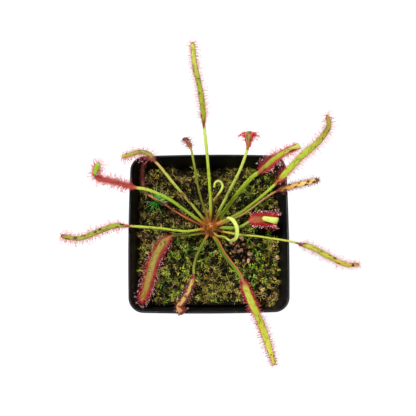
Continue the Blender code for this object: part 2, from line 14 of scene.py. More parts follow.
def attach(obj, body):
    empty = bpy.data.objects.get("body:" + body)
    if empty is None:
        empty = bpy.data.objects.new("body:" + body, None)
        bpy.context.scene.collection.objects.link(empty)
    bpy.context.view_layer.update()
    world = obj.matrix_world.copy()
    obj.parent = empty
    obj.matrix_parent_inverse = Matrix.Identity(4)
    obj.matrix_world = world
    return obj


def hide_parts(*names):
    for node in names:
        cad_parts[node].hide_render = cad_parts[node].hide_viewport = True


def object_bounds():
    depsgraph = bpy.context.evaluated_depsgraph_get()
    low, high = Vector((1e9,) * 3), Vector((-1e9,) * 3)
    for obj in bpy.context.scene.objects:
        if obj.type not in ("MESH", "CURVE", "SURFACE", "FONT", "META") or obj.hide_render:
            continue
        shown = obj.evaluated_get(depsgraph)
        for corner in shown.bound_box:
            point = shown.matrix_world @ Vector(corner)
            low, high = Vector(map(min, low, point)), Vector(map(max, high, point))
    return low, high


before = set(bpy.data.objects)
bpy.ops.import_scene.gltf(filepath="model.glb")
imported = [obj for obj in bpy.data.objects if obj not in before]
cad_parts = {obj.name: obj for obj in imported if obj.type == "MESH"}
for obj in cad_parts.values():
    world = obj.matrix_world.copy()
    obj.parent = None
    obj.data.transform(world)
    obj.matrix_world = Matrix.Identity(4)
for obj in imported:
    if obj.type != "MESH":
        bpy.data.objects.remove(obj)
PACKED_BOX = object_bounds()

MM = 0.001
RNG = np.random.default_rng(23)
LOG = logging.getLogger("sundew")
Colour = tuple[float, float, float]
Spot = tuple[float, float, float]
Directions = tuple[Vector, Vector, Vector]
Socket = bpy.types.NodeSocket
Finish = bpy.types.Material
Piece = bpy.types.Object

POT_HEIGHT = 80.0
BASE_HALF = 31.0
RIM_HALF = 45.0
CORNER_RADIUS = 8.0
BASE_BOW = 0.2
RIM_BOW = 0.85
LIP_WALL = 1.2
DRAIN_HOLES = ((20, 0), (0, 20), (-20, 0), (0, -20), (24, 24), (-24, 24), (-24, -24), (24, -24))
CROWN_X = 1.5
CROWN_Y = 4.3
CROWN_PROFILE = ((50, 2.6), (53, 3.4), (64, 3.6), (68, 3.6), (72, 3.5), (75, 2.9), (77, 1.8), (78, 0.7))
GROUND_WIDE = 84.0
BARE_X, BARE_Y, BARE_LONG, BARE_WIDE = 19.0, -9.5, 10.0, 6.5
DIAGONAL = 0.7071
TUFT_X, TUFT_Y = -31.0, 20.8
LEAF_SEAT = 0.75
STALK_STEP, BLADE_STEP, CURL_STEP = 1.2, 0.8, 0.383
STALK_THICK = 1.1
TIP_STEPS = (0.2, 0.35, 0.45)
TIP_HALF = (0.8, 0.5, 0.16)
TIP_THICK = (0.9, 0.65, 0.25)
TENTACLE_RADII = (0.055, 0.085)
FEWEST_DROPS = 4
BOX_MARGIN = 0.55
BOX_TRIES = 6
MIX_INPUTS = (0, 6, 7)
MIX_OUTPUT = 2


def srgb(red: int, green: int, blue: int) -> Colour:
    """A screen colour as the linear one that a shader takes."""
    shares = (channel / 255 for channel in (red, green, blue))
    return tuple(s / 12.92 if s <= 0.04045 else ((s + 0.055) / 1.055) ** 2.4 for s in shares)


class Facing(Enum):
    """Which way the face that bears the tentacles looks, against the leaf's up direction."""

    UP = 1
    DOWN = -1


class Growth(Enum):
    """The record's material slot of a leaf."""

    GREEN = "green_leaf"
    RED = "red_leaf"
    OLD = "old_leaf"
    YOUNG = "young_leaf"


class Hair(Enum):
    """The finish of a leaf's tentacles."""

    BRIGHT = "tentacle"
    DEEP = "tentacle_deep"
    OLD = "tentacle_old"


class Graph:
    """The node tree of one finish, with short ways to add the nodes that the finishes share."""

    def __init__(self, name: str) -> None:
        """Starts a material with a plain Principled shader.

        Args:
            name: The material's name.
        """
        self.material = bpy.data.materials.new(name)
        self.material.use_nodes = True
        self.tree = self.material.node_tree
        self.shader = self.tree.nodes["Principled BSDF"]

    def put(self, kind: str, **settings: object) -> bpy.types.Node:
        """Adds a node.

        Args:
            kind: Its type.
            **settings: Its options by name.

        Returns:
            The node.
        """
        node = self.tree.nodes.new(kind)
        for name, value in settings.items():
            setattr(node, name, value)
        return node

    def plug(self, socket: Socket, value: object) -> None:
        """Links a socket, or sets its value.

        Args:
            socket: The input to feed.
            value: Another node's output, a number or a colour.
        """
        if isinstance(value, Socket):
            self.tree.links.new(value, socket)
        elif isinstance(value, tuple) and len(value) == 3 and socket.type == "RGBA":
            socket.default_value = (*value, 1.0)
        else:
            socket.default_value = value

    def place(self, stretch: Spot = (1.0, 1.0, 1.0)) -> Socket:
        """The point on the piece, stretched along its axes."""
        return self.stretch(self.put("ShaderNodeTexCoord").outputs["Object"], stretch)

    def stretch(self, vector: Socket, scale: Spot) -> Socket:
        """Scales each part of a vector.

        Args:
            vector: The vector.
            scale: What each of its parts is multiplied by.

        Returns:
            The scaled vector, or the same one where the scale is one all round.
        """
        if scale == (1.0, 1.0, 1.0):
            return vector
        mapping = self.put("ShaderNodeMapping")
        self.plug(mapping.inputs["Vector"], vector)
        mapping.inputs["Scale"].default_value = scale
        return mapping.outputs["Vector"]

    def read(self, name: str, part: str = "Fac") -> Socket:
        """What the mesh carries at each point: a number, or a vector with Vector as the part."""
        return self.put("ShaderNodeAttribute", attribute_name=name).outputs[part]

    def noise(self, scale: float, detail: float = 3.0, vector: Socket | None = None) -> Socket:
        """Soft noise from 0 to 1.

        Args:
            scale: Bumps for each metre, or for each unit of the vector.
            detail: Octaves of finer noise.
            vector: Where to read it, the point on the piece if left out.

        Returns:
            The noise.
        """
        node = self.put("ShaderNodeTexNoise")
        self.plug(node.inputs["Vector"], vector or self.place())
        node.inputs["Scale"].default_value = scale
        node.inputs["Detail"].default_value = detail
        return node.outputs["Fac"]

    def cells(self, scale: float, vector: Socket | None = None) -> Socket:
        """Distance to the nearest of scattered points.

        Args:
            scale: Points for each metre, or for each unit of the vector.
            vector: Where to read it, the point on the piece if left out.

        Returns:
            The distance, in cells.
        """
        node = self.put("ShaderNodeTexVoronoi")
        self.plug(node.inputs["Vector"], vector or self.place())
        node.inputs["Scale"].default_value = scale
        return node.outputs["Distance"]

    def calc(self, way: str, first: object, second: object = 0.0) -> Socket:
        """Plain arithmetic on two numbers.

        Args:
            way: The operation.
            first: The first number.
            second: The second number.

        Returns:
            The result.
        """
        node = self.put("ShaderNodeMath", operation=way)
        self.plug(node.inputs[0], first)
        self.plug(node.inputs[1], second)
        return node.outputs["Value"]

    def times(self, first: object, second: object) -> Socket:
        """One number times another."""
        return self.calc("MULTIPLY", first, second)

    def plus(self, first: object, second: object) -> Socket:
        """One number plus another."""
        return self.calc("ADD", first, second)

    def minus(self, first: object, second: object) -> Socket:
        """One number less another."""
        return self.calc("SUBTRACT", first, second)

    def ease(self, value: object, low: float, high: float, top: float = 1.0) -> Socket:
        """Rises smoothly with a number, and falls where high is the lower one.

        Args:
            value: The number.
            low: Where the result is 0.
            high: Where the result is at its top.
            top: The highest result.

        Returns:
            A number from 0 to top.
        """
        node = self.put("ShaderNodeMapRange", interpolation_type="SMOOTHSTEP")
        self.plug(node.inputs["Value"], value)
        ends = (low, high, 0.0, top) if low < high else (high, low, top, 0.0)
        for name, end in zip(("From Min", "From Max", "To Min", "To Max"), ends):
            node.inputs[name].default_value = end
        return node.outputs["Result"]

    def mix(self, share: object, first: object, second: object, way: str = "MIX") -> Socket:
        """Blends two colours.

        Args:
            share: How much of the second shows.
            first: The colour below.
            second: The colour above.
            way: The blend type.

        Returns:
            The blended colour.
        """
        node = self.put("ShaderNodeMix", data_type="RGBA", blend_type=way)
        for number, value in zip(MIX_INPUTS, (share, first, second)):
            self.plug(node.inputs[number], value)
        return node.outputs[MIX_OUTPUT]

    def ramp(self, value: object, stops: tuple[tuple[float, Colour], ...]) -> Socket:
        """Colours by a number from 0 to 1.

        Args:
            value: The number.
            stops: A place and a colour for each stop, in order.

        Returns:
            The colour.
        """
        node = self.put("ShaderNodeValToRGB")
        self.plug(node.inputs["Fac"], value)
        elements = node.color_ramp.elements
        for spot, colour in stops[1:-1]:
            elements.new(spot).color = (*colour, 1.0)
        for element, (spot, colour) in ((elements[0], stops[0]), (elements[-1], stops[-1])):
            element.position = spot
            element.color = (*colour, 1.0)
        return node.outputs["Color"]

    def dress(
        self, colour: object, roughness: object, height: object = None, depth: float = 0, strength: float = 0
    ) -> Finish:
        """Feeds the shader.

        Args:
            colour: Base colour.
            roughness: Roughness.
            height: What the bump follows, none if left out.
            depth: Height of the bump in millimetres.
            strength: Strength of the bump.

        Returns:
            The finished material.
        """
        self.plug(self.shader.inputs["Base Color"], colour)
        self.plug(self.shader.inputs["Roughness"], roughness)
        if height is not None:
            bump = self.put("ShaderNodeBump")
            self.plug(bump.inputs["Height"], height)
            bump.inputs["Strength"].default_value = strength
            bump.inputs["Distance"].default_value = depth * MM
            self.plug(self.shader.inputs["Normal"], bump.outputs["Normal"])
        return self.material

    def set(self, **values: object) -> None:
        """Sets the shader's sockets that are the same all over, named with _ for a space."""
        for name, value in values.items():
            self.plug(self.shader.inputs[name.replace("_", " ")], value)


@dataclass(frozen=True)
class PotPlastic:
    """Thin black moulded plastic with dust, a lip painted paler as a sheen from the light, and dried
    splashes, its levels in millimetres.
    """

    body: Colour = srgb(9, 11, 19)
    # Painted sheen: the rim top is paler, standing in for the light that it reflects.
    lip: Colour = srgb(26, 26, 34)
    dust: Colour = srgb(168, 164, 156)
    splash: Colour = srgb(21, 22, 25)
    lip_levels: tuple[float, float] = (79.2, 79.9)
    splash_levels: tuple[float, float] = (69.0, 62.0)

    def build(self) -> Finish:
        """Makes the material.

        Returns:
            The material.
        """
        graph = Graph("pot_plastic")
        split = graph.put("ShaderNodeSeparateXYZ")
        graph.plug(split.inputs["Vector"], graph.place())
        # Painted sheen on the rim top, set by height and broken up by noise; below it, the dried splashes.
        lip, wet = (
            graph.ease(split.outputs["Z"], *(level * MM for level in levels))
            for levels in (self.lip_levels, self.splash_levels)
        )
        lip = graph.times(lip, graph.ease(graph.noise(60.0, 5.0), 0.3, 0.7))
        colour = graph.mix(lip, self.body, self.lip)
        specks = graph.ease(graph.cells(620.0), 0.2, 0.1)
        specks = graph.times(specks, graph.ease(graph.noise(150.0), 0.5, 0.62))
        colour = graph.mix(graph.times(specks, 0.6), colour, self.dust)
        wet = graph.times(wet, graph.ease(graph.noise(260.0, 5.0), 0.5, 0.66))
        colour = graph.mix(graph.times(wet, 0.6), colour, self.splash)
        scuffs = graph.noise(1.0, 4.0, graph.place((90.0, 90.0, 1400.0)))
        rough = graph.plus(graph.plus(graph.times(scuffs, 0.25), 0.34), graph.times(specks, 0.4))
        graph.set(Specular_IOR_Level=0.22)
        return graph.dress(colour, rough, graph.plus(graph.noise(900.0), scuffs), 0.05, 0.25)


@dataclass(frozen=True)
class Peat:
    """Damp dark peat."""

    dark: Colour = srgb(24, 17, 12)
    light: Colour = srgb(74, 56, 38)

    def build(self) -> Finish:
        """Makes the material.

        Returns:
            The material.
        """
        graph = Graph("peat")
        graph.set(Specular_IOR_Level=0.1)
        crumbs = graph.noise(900.0, 6.0)
        colour = graph.mix(graph.ease(crumbs, 0.5, 0.75), self.dark, self.light)
        return graph.dress(colour, graph.ease(crumbs, 0.9, 0.2, 0.9), crumbs, 0.8, 0.8)


@dataclass(frozen=True)
class MossBed:
    """The dark bed below the moss, with bare peat in front and right of the crown."""

    shade: Colour = srgb(9, 6, 6)
    growth: Colour = srgb(30, 26, 13)
    litter: Colour = srgb(44, 28, 21)
    peat: Colour = srgb(9, 7, 6)
    crumbs: Colour = srgb(44, 34, 24)

    def build(self) -> Finish:
        """Makes the material.

        Returns:
            The material.
        """
        graph = Graph("moss_bed")
        fine = graph.noise(1500.0, 5.0)
        broad = graph.noise(240.0, 4.0)
        colour = graph.mix(graph.ease(fine, 0.48, 0.75), self.shade, self.growth)
        colour = graph.mix(graph.ease(broad, 0.5, 0.75, 0.8), colour, self.litter)
        peat = graph.mix(graph.ease(fine, 0.5, 0.8), self.peat, self.crumbs)
        colour = graph.mix(graph.ease(graph.read("bare"), 0.2, 0.8), colour, peat)
        graph.set(Specular_IOR_Level=0.05)
        return graph.dress(colour, 0.85, fine, 0.8, 0.9)


@dataclass(frozen=True)
class MossLeaf:
    """Moss leaflets: brown to olive to fresh green, darkened by painted shade at their roots and where they
    have little shine, with lighter tips that are partly paler growth and partly painted highlight.
    """

    name: str = "moss_leaf"
    hues: tuple[tuple[float, Colour], ...] = (
        (0.0, srgb(232, 170, 116)),
        (0.25, srgb(244, 200, 98)),
        (0.5, srgb(255, 246, 76)),
        (0.75, srgb(210, 252, 56)),
        (1.0, srgb(108, 212, 50)),
    )
    # Painted shade: the near-black that the shaded parts of the mat are darkened to.
    roots: Colour = srgb(15, 10, 7)
    # Lighter tips: partly paler new growth, partly painted highlight.
    tips: Colour = srgb(255, 252, 160)
    bright: float = 0.85

    def build(self) -> Finish:
        """Makes the material.

        Returns:
            The material.
        """
        graph = Graph(self.name)
        rise = graph.read("rise")
        mottle = graph.noise(700.0, 2.0)
        colour = graph.ramp(graph.read("tone"), self.hues)
        # Painted shade: leaflets with little shine are darkened, for the gaps and the low sprigs.
        colour = graph.mix(graph.times(graph.minus(1.0, graph.read("shine")), 0.98), colour, self.roots)
        # Painted shade: each leaflet darkens towards its root, down in the mat.
        colour = graph.mix(graph.ease(rise, 0.45, 0.0, 0.94), colour, self.roots)
        # Lighter tips, partly painted highlight, on a random share of the leaflets.
        tips = graph.times(graph.ease(rise, 0.5, 0.9, self.bright), graph.read("tint"))
        colour = graph.mix(tips, colour, self.tips)
        graph.set(Specular_IOR_Level=0.08)
        return graph.dress(colour, graph.plus(graph.times(mottle, 0.3), 0.4), mottle, 0.05, 0.3)


@dataclass(frozen=True)
class Bark:
    """Dry bark and twig scraps, paler where the mesh carries a higher tone."""

    name: str
    dark: Colour
    light: Colour
    grain: Spot
    pale: Colour = srgb(252, 208, 156)

    def build(self) -> Finish:
        """Makes the material.

        Returns:
            The material.
        """
        graph = Graph(self.name)
        graph.set(Specular_IOR_Level=0.15)
        streaks = graph.noise(1400.0, 5.0, graph.place(self.grain))
        colour = graph.mix(graph.ease(streaks, 0.35, 0.7), self.dark, self.light)
        pale = graph.times(graph.read("tone"), graph.ease(streaks, 0.36, 0.56, 0.9))
        colour = graph.mix(pale, colour, self.pale)
        return graph.dress(colour, graph.ease(streaks, 0.9, 0.2, 0.8), streaks, 0.25, 0.7)


@dataclass(frozen=True)
class CrownSkin:
    """The orange-brown crown and its papery stipules, pale at their tips."""

    dark: Colour = srgb(134, 66, 26)
    light: Colour = srgb(204, 128, 50)
    tips: Colour = srgb(232, 172, 92)

    def build(self) -> Finish:
        """Makes the material.

        Returns:
            The material.
        """
        graph = Graph("crown_skin")
        mottle = graph.noise(900.0, 4.0)
        colour = graph.mix(graph.ease(mottle, 0.35, 0.7), self.dark, self.light)
        colour = graph.mix(graph.ease(graph.read("rise"), 0.2, 0.9, 0.8), colour, self.tips)
        return graph.dress(colour, graph.plus(graph.times(mottle, 0.3), 0.35), mottle, 0.1, 0.5)


@dataclass(frozen=True)
class LeafSkin:
    """The skin of one leaf: a colour for each stretch from its base to its tip, and how it is marked."""

    base: Colour = srgb(192, 122, 52)
    stalk: Colour = srgb(194, 216, 74)
    far_stalk: Colour = srgb(204, 222, 84)
    joint: Colour = srgb(150, 84, 44)
    blade: Colour = srgb(160, 176, 52)
    far_blade: Colour = srgb(166, 176, 54)
    tip: Colour = srgb(170, 110, 60)
    margin: Colour = srgb(142, 52, 40)
    front: Colour = srgb(190, 84, 66)
    flush: Colour = srgb(222, 92, 80)
    pale_grain: Colour = srgb(240, 232, 140)
    blush: float = 0.12
    stalk_blush: float = 0.0
    mottle: float = 0.75
    specks: float = 0.5
    joint_end: float = 0.022
    tip_run: float = 0.025
    speck: Colour = srgb(72, 36, 22)
    stain: Colour = srgb(66, 26, 26)

    def build(self, name: str) -> Finish:
        """Makes the material.

        Args:
            name: The leaf's name.

        Returns:
            The leaf's material.
        """
        graph = Graph(name + "_skin")
        lie = graph.read("lie", "Vector")
        broad = graph.noise(1.0, 4.0, graph.stretch(lie, (700.0, 330.0, 1.0)))
        fine = graph.noise(1.0, 3.0, graph.stretch(lie, (2600.0, 1700.0, 1.0)))
        veins = graph.noise(1.0, 2.0, graph.stretch(lie, (2600.0, 110.0, 1.0)))
        colour = self.rims(graph, self.flesh(graph, broad, fine, veins), fine)
        gate = graph.ease(broad, 0.6 - 0.25 * self.specks, 0.66 - 0.25 * self.specks)
        cells = graph.cells(1.0, graph.stretch(lie, (900.0, 620.0, 1.0)))
        dots = graph.times(graph.ease(cells, 0.32, 0.14), gate)
        colour = graph.mix(graph.times(dots, min(0.85, 0.4 + self.specks)), colour, self.speck)
        stained = graph.plus(graph.read("stain"), graph.times(graph.minus(fine, 0.5), 1.1))
        colour = graph.mix(graph.ease(stained, 0.42, 0.6, 0.93), colour, self.stain)
        height = graph.plus(graph.times(veins, 1.2), graph.minus(fine, dots))
        graph.set(Subsurface_Weight=0.15, Subsurface_Scale=0.6 * MM, Subsurface_Radius=(1.0, 0.8, 0.25))
        graph.set(Specular_IOR_Level=0.18)
        return graph.dress(colour, graph.plus(graph.times(broad, 0.3), 0.3), height, 0.14, 0.5)

    def flesh(self, graph: Graph, broad: Socket, fine: Socket, veins: Socket) -> Socket:
        """The colour from the base to the tip, mottled and veined over the blade.

        Args:
            graph: The node tree.
            broad: Noise in patches.
            fine: Noise in grains.
            veins: Noise in lines along the leaf.

        Returns:
            The colour.
        """
        stage = graph.read("stage")
        drift = graph.times(graph.minus(broad, 0.5), 0.03)
        colour = graph.ramp(graph.plus(graph.times(stage, 0.5), drift), self.stops())
        patchy = graph.times(graph.ease(stage, 0.96, 1.04), self.mottle)
        for share, shade in (
            (graph.times(graph.ease(broad, 0.48, 0.66), patchy), (0.62, 0.5, 0.4)),
            (graph.times(graph.ease(broad, 0.46, 0.34), patchy), (0.78, 1.08, 0.55)),
            (graph.ease(veins, 0.5, 0.75, 0.3), (0.45, 0.4, 0.3)),
        ):
            colour = graph.mix(share, colour, shade, "MULTIPLY")
        grain = graph.times(graph.ease(fine, 0.54, 0.72), graph.plus(patchy, 0.1))
        return graph.mix(grain, colour, graph.mix(0.5, colour, self.pale_grain))

    def rims(self, graph: Graph, colour: Socket, fine: Socket) -> Socket:
        """Reddens the blade's margins, one flank of the stalk and the face that bears the tentacles.

        Args:
            graph: The node tree.
            colour: The colour so far.
            fine: Noise in grains.

        Returns:
            The colour.
        """
        stage, across = graph.read("stage"), graph.read("across")
        blade = graph.ease(stage, 0.96, 1.04)
        edge = graph.ease(graph.calc("ABSOLUTE", across), 0.99 - self.blush, 0.99 - self.blush * 0.3, 0.9)
        colour = graph.mix(graph.times(edge, blade), colour, self.margin)
        if self.stalk_blush:
            flank = graph.ease(across, -0.1, -0.7, self.stalk_blush)
            colour = graph.mix(graph.times(flank, graph.ease(stage, 1.02, 0.9)), colour, self.flush)
        face = graph.times(graph.ease(graph.read("front"), 0.42, 0.62), blade)
        blotch = tuple((face_part + edge_part) / 2 for face_part, edge_part in zip(self.front, self.margin))
        return graph.mix(face, colour, graph.mix(graph.ease(fine, 0.4, 0.6, 0.8), self.front, blotch))

    def stops(self) -> tuple[tuple[float, Colour], ...]:
        """The colours from the base to the tip, with the joint in the middle.

        Returns:
            A place and a colour for each stop.
        """
        return (
            (0.0, self.base),
            (0.03, self.base),
            (0.09, self.stalk),
            (0.3, self.stalk),
            (0.478, self.far_stalk),
            (0.492, self.joint),
            (0.5 + self.joint_end, self.joint),
            (0.53 + self.joint_end, self.blade),
            (0.72, self.blade),
            (0.9, self.far_blade),
            (0.99 - self.tip_run, self.far_blade),
            (0.99, self.tip),
        )


@dataclass(frozen=True)
class TentacleSkin:
    """Tentacles: translucent red shafts with glossy dark red glands."""

    name: str
    root: Colour
    shaft: Colour
    gland: Colour
    pale: Colour = srgb(244, 120, 120)

    def build(self) -> Finish:
        """Makes the material.

        Returns:
            The material.
        """
        graph = Graph(self.name)
        rise = graph.read("rise")
        parts = (self.root, self.shaft, self.shaft, self.gland, self.gland)
        colour = graph.ramp(rise, tuple(zip((0.0, 0.3, 0.86, 0.94, 1.0), parts)))
        colour = graph.mix(graph.times(graph.read("tint"), 0.5), colour, graph.mix(0.5, colour, self.pale))
        graph.set(Subsurface_Weight=0.1, Subsurface_Scale=0.2 * MM, Coat_Weight=0.3, Coat_Roughness=0.1)
        return graph.dress(colour, graph.ease(rise, 0.95, 0.7, 0.4))


@dataclass(frozen=True)
class Dew:
    """Sticky milky drops, with a painted glint: they glow faintly, standing in for the light that they catch.
    """

    # Painted glint: the colour that the drops glow with.
    glow: Colour = (1.0, 0.9, 0.84)
    cloudy: Colour = (1.0, 0.86, 0.8)
    clear: Colour = (1.0, 0.97, 0.93)

    def build(self) -> Finish:
        """Makes the material.

        Returns:
            The material.
        """
        graph = Graph("dew")
        # Painted glint: a faint emission makes the drops show as bright dots.
        graph.set(Transmission_Weight=0.35, IOR=1.38, Emission_Color=self.glow, Emission_Strength=0.6)
        return graph.dress(graph.mix(graph.noise(700.0, 1.0), self.cloudy, self.clear), 0.08)


@dataclass(frozen=True)
class PaperFloor:
    """Plain white paper, lit evenly."""

    glow: Colour = (1.0, 1.0, 1.0)
    fibre: Colour = (0.06, 0.06, 0.06)
    pale_fibre: Colour = (0.07, 0.07, 0.07)

    def build(self) -> Finish:
        """Makes the material.

        Returns:
            The material.
        """
        graph = Graph("paper_floor")
        graph.set(Emission_Color=self.glow, Emission_Strength=1.0, Specular_IOR_Level=0.0)
        return graph.dress(graph.mix(graph.noise(300.0), self.fibre, self.pale_fibre), 0.9)


@dataclass
class Shape:
    """A small modelled mesh that is copied many times."""

    points: np.ndarray
    loops: np.ndarray
    sizes: np.ndarray

    @classmethod
    def take(cls, model: Piece) -> "Shape":
        """Reads a modelled object and puts it away.

        Args:
            model: The object.

        Returns:
            Its shape.
        """
        mesh = model.data
        points = np.array([vert.co[:] for vert in mesh.vertices])
        loops = np.array([corner for face in mesh.polygons for corner in face.vertices])
        sizes = np.array([len(face.vertices) for face in mesh.polygons])
        bpy.data.objects.remove(model)
        return cls(points, loops, sizes)


class Bench:
    """The maker's bench: takes primitives, shapes them in edit mode and hands over finished pieces."""

    @staticmethod
    def clear_selection() -> None:
        """Deselects everything, so that an operator acts on the new piece alone."""
        bpy.ops.object.select_all(action="DESELECT")

    @staticmethod
    def edit() -> None:
        """Opens the piece at hand for edits, with all of it selected."""
        bpy.ops.object.mode_set(mode="EDIT")
        bpy.ops.mesh.select_all(action="SELECT")

    @staticmethod
    def mark(mesh: bpy.types.Mesh, name: str, values: np.ndarray) -> None:
        """Lets a mesh carry a number or a vector at each of its points.

        Args:
            mesh: The mesh.
            name: What the finishes read it by.
            values: The numbers or vectors by point.
        """
        kind, slot = ("FLOAT_VECTOR", "vector") if values.ndim == 2 else ("FLOAT", "value")
        layer = mesh.attributes.new(name, kind, "POINT")
        layer.data.foreach_set(slot, values.astype(np.float32).ravel())

    @staticmethod
    def loft(name: str, rings: np.ndarray, marks: dict[str, np.ndarray] | None = None) -> Piece:
        """Lays a grid on closed rings of points, joins its seam and closes its ends.

        Args:
            name: The piece's name.
            rings: Points in millimetres, by ring, by place round the ring and by axis.
            marks: Numbers or vectors for the mesh to carry, by ring and by place.

        Returns:
            The piece, smooth and facing outwards.
        """
        count, around = rings.shape[:2]
        Bench.clear_selection()
        bpy.ops.mesh.primitive_grid_add(x_subdivisions=around, y_subdivisions=count - 1, size=2)
        piece = bpy.context.object
        piece.name = piece.data.name = name
        mesh = piece.data
        flat = np.empty(len(mesh.vertices) * 3)
        mesh.vertices.foreach_get("co", flat)
        flat = flat.reshape(-1, 3)
        column = np.rint((flat[:, 0] + 1) / 2 * around).astype(int) % around
        row = np.rint((flat[:, 1] + 1) / 2 * (count - 1)).astype(int)
        mesh.vertices.foreach_set("co", (rings[row, column] * MM).ravel())
        for key, values in (marks or {}).items():
            Bench.mark(mesh, key, values[row, column])
        Bench.edit()
        bpy.ops.mesh.remove_doubles(threshold=1e-6)
        bpy.ops.mesh.fill_holes(sides=0)
        bpy.ops.mesh.select_all(action="SELECT")
        bpy.ops.mesh.normals_make_consistent(inside=False)
        bpy.ops.object.mode_set(mode="OBJECT")
        bpy.ops.object.shade_smooth_by_angle(angle=math.radians(50))
        return piece

    @staticmethod
    def spindle(sides: int, steps: tuple[tuple[float, float], ...], flat: float = 1.0) -> Shape:
        """Models one slender shape, of unit length and width, by extruding a circle.

        Args:
            sides: Corners of its section.
            steps: Height and radius of each ring, from the foot up.
            flat: Its thickness against its width.

        Returns:
            The shape.
        """
        Bench.clear_selection()
        height, radius = steps[0]
        foot = (0, 0, height)
        bpy.ops.mesh.primitive_circle_add(vertices=sides, radius=radius, fill_type="NGON", location=foot)
        bpy.ops.object.transform_apply(location=True)
        Bench.edit()
        for level, wide in steps[1:]:
            bpy.ops.mesh.extrude_region_move(TRANSFORM_OT_translate={"value": (0, 0, level - height)})
            bpy.ops.transform.resize(value=(wide / radius, wide / radius, 1))
            height, radius = level, wide
        bpy.ops.mesh.select_all(action="SELECT")
        bpy.ops.transform.resize(value=(1, flat, 1))
        bpy.ops.mesh.normals_make_consistent(inside=False)
        bpy.ops.object.mode_set(mode="OBJECT")
        return Shape.take(bpy.context.object)

    @staticmethod
    def bead(tall: float, fine: bool) -> Shape:
        """Models one bead of unit radius.

        Args:
            tall: Its height against its width.
            fine: Whether it is round enough to be looked through.

        Returns:
            The shape.
        """
        Bench.clear_selection()
        if fine:
            bpy.ops.mesh.primitive_uv_sphere_add(segments=6, ring_count=4, radius=1)
        else:
            bpy.ops.mesh.primitive_ico_sphere_add(subdivisions=1, radius=1)
        Bench.edit()
        bpy.ops.transform.resize(value=(1, 1, tall))
        bpy.ops.object.mode_set(mode="OBJECT")
        return Shape.take(bpy.context.object)

    @staticmethod
    def hand_over(piece: Piece, finish: Finish, slot: str, replaced: tuple[str, ...] = ()) -> None:
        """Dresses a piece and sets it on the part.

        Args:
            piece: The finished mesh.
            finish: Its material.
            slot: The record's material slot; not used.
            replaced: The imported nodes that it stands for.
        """
        piece.data.materials.clear()
        piece.data.materials.append(finish)
        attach(piece, "root")
        if replaced:
            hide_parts(*replaced)
        LOG.info("%s: %d faces", piece.name, len(piece.data.polygons))


@dataclass
class Bundle:
    """Copies of shapes gathered into one mesh."""

    points: list[np.ndarray] = field(default_factory=list)
    loops: list[np.ndarray] = field(default_factory=list)
    sizes: list[np.ndarray] = field(default_factory=list)
    marks: dict[str, list[np.ndarray]] = field(default_factory=dict)
    total: int = 0

    def add(self, shape: Shape, placed: np.ndarray, **marks: np.ndarray) -> None:
        """Adds copies of a shape.

        Args:
            shape: The shape that was copied.
            placed: Its points in millimetres, by copy, by point and by axis.
            marks: Numbers for the mesh to carry, by copy and by point.
        """
        copies, count = placed.shape[:2]
        shift = self.total + np.arange(copies)[:, None] * count
        self.points.append(placed.reshape(-1, 3))
        self.loops.append((shape.loops[None, :] + shift).ravel())
        self.sizes.append(np.tile(shape.sizes, copies))
        for key, values in marks.items():
            self.marks.setdefault(key, []).append(np.broadcast_to(values, (copies, count)).ravel())
        self.total += copies * count

    def piece(self, name: str) -> Piece:
        """Makes one smooth piece of all the copies.

        Args:
            name: The piece's name.

        Returns:
            The piece.
        """
        points, loops, sizes = (np.concatenate(part) for part in (self.points, self.loops, self.sizes))
        mesh = bpy.data.meshes.new(name)
        mesh.vertices.add(len(points))
        mesh.vertices.foreach_set("co", (points * MM).ravel())
        mesh.loops.add(len(loops))
        mesh.loops.foreach_set("vertex_index", loops.astype(np.int32))
        mesh.polygons.add(len(sizes))
        mesh.polygons.foreach_set("loop_start", (np.cumsum(sizes) - sizes).astype(np.int32))
        for key, values in self.marks.items():
            Bench.mark(mesh, key, np.concatenate(values))
        mesh.update(calc_edges=True)
        mesh.shade_smooth()
        piece = bpy.data.objects.new(name, mesh)
        bpy.context.scene.collection.objects.link(piece)
        return piece


def unit(vectors: np.ndarray) -> np.ndarray:
    """Vectors brought to length one."""
    return vectors / np.maximum(np.linalg.norm(vectors, axis=-1, keepdims=True), 1e-9)


def compass(turn: np.ndarray, rise: object) -> np.ndarray:
    """Vectors of unit length in plan, each turned to an angle and rising by its own height."""
    return np.column_stack([np.cos(turn), np.sin(turn), np.broadcast_to(rise, turn.shape)])


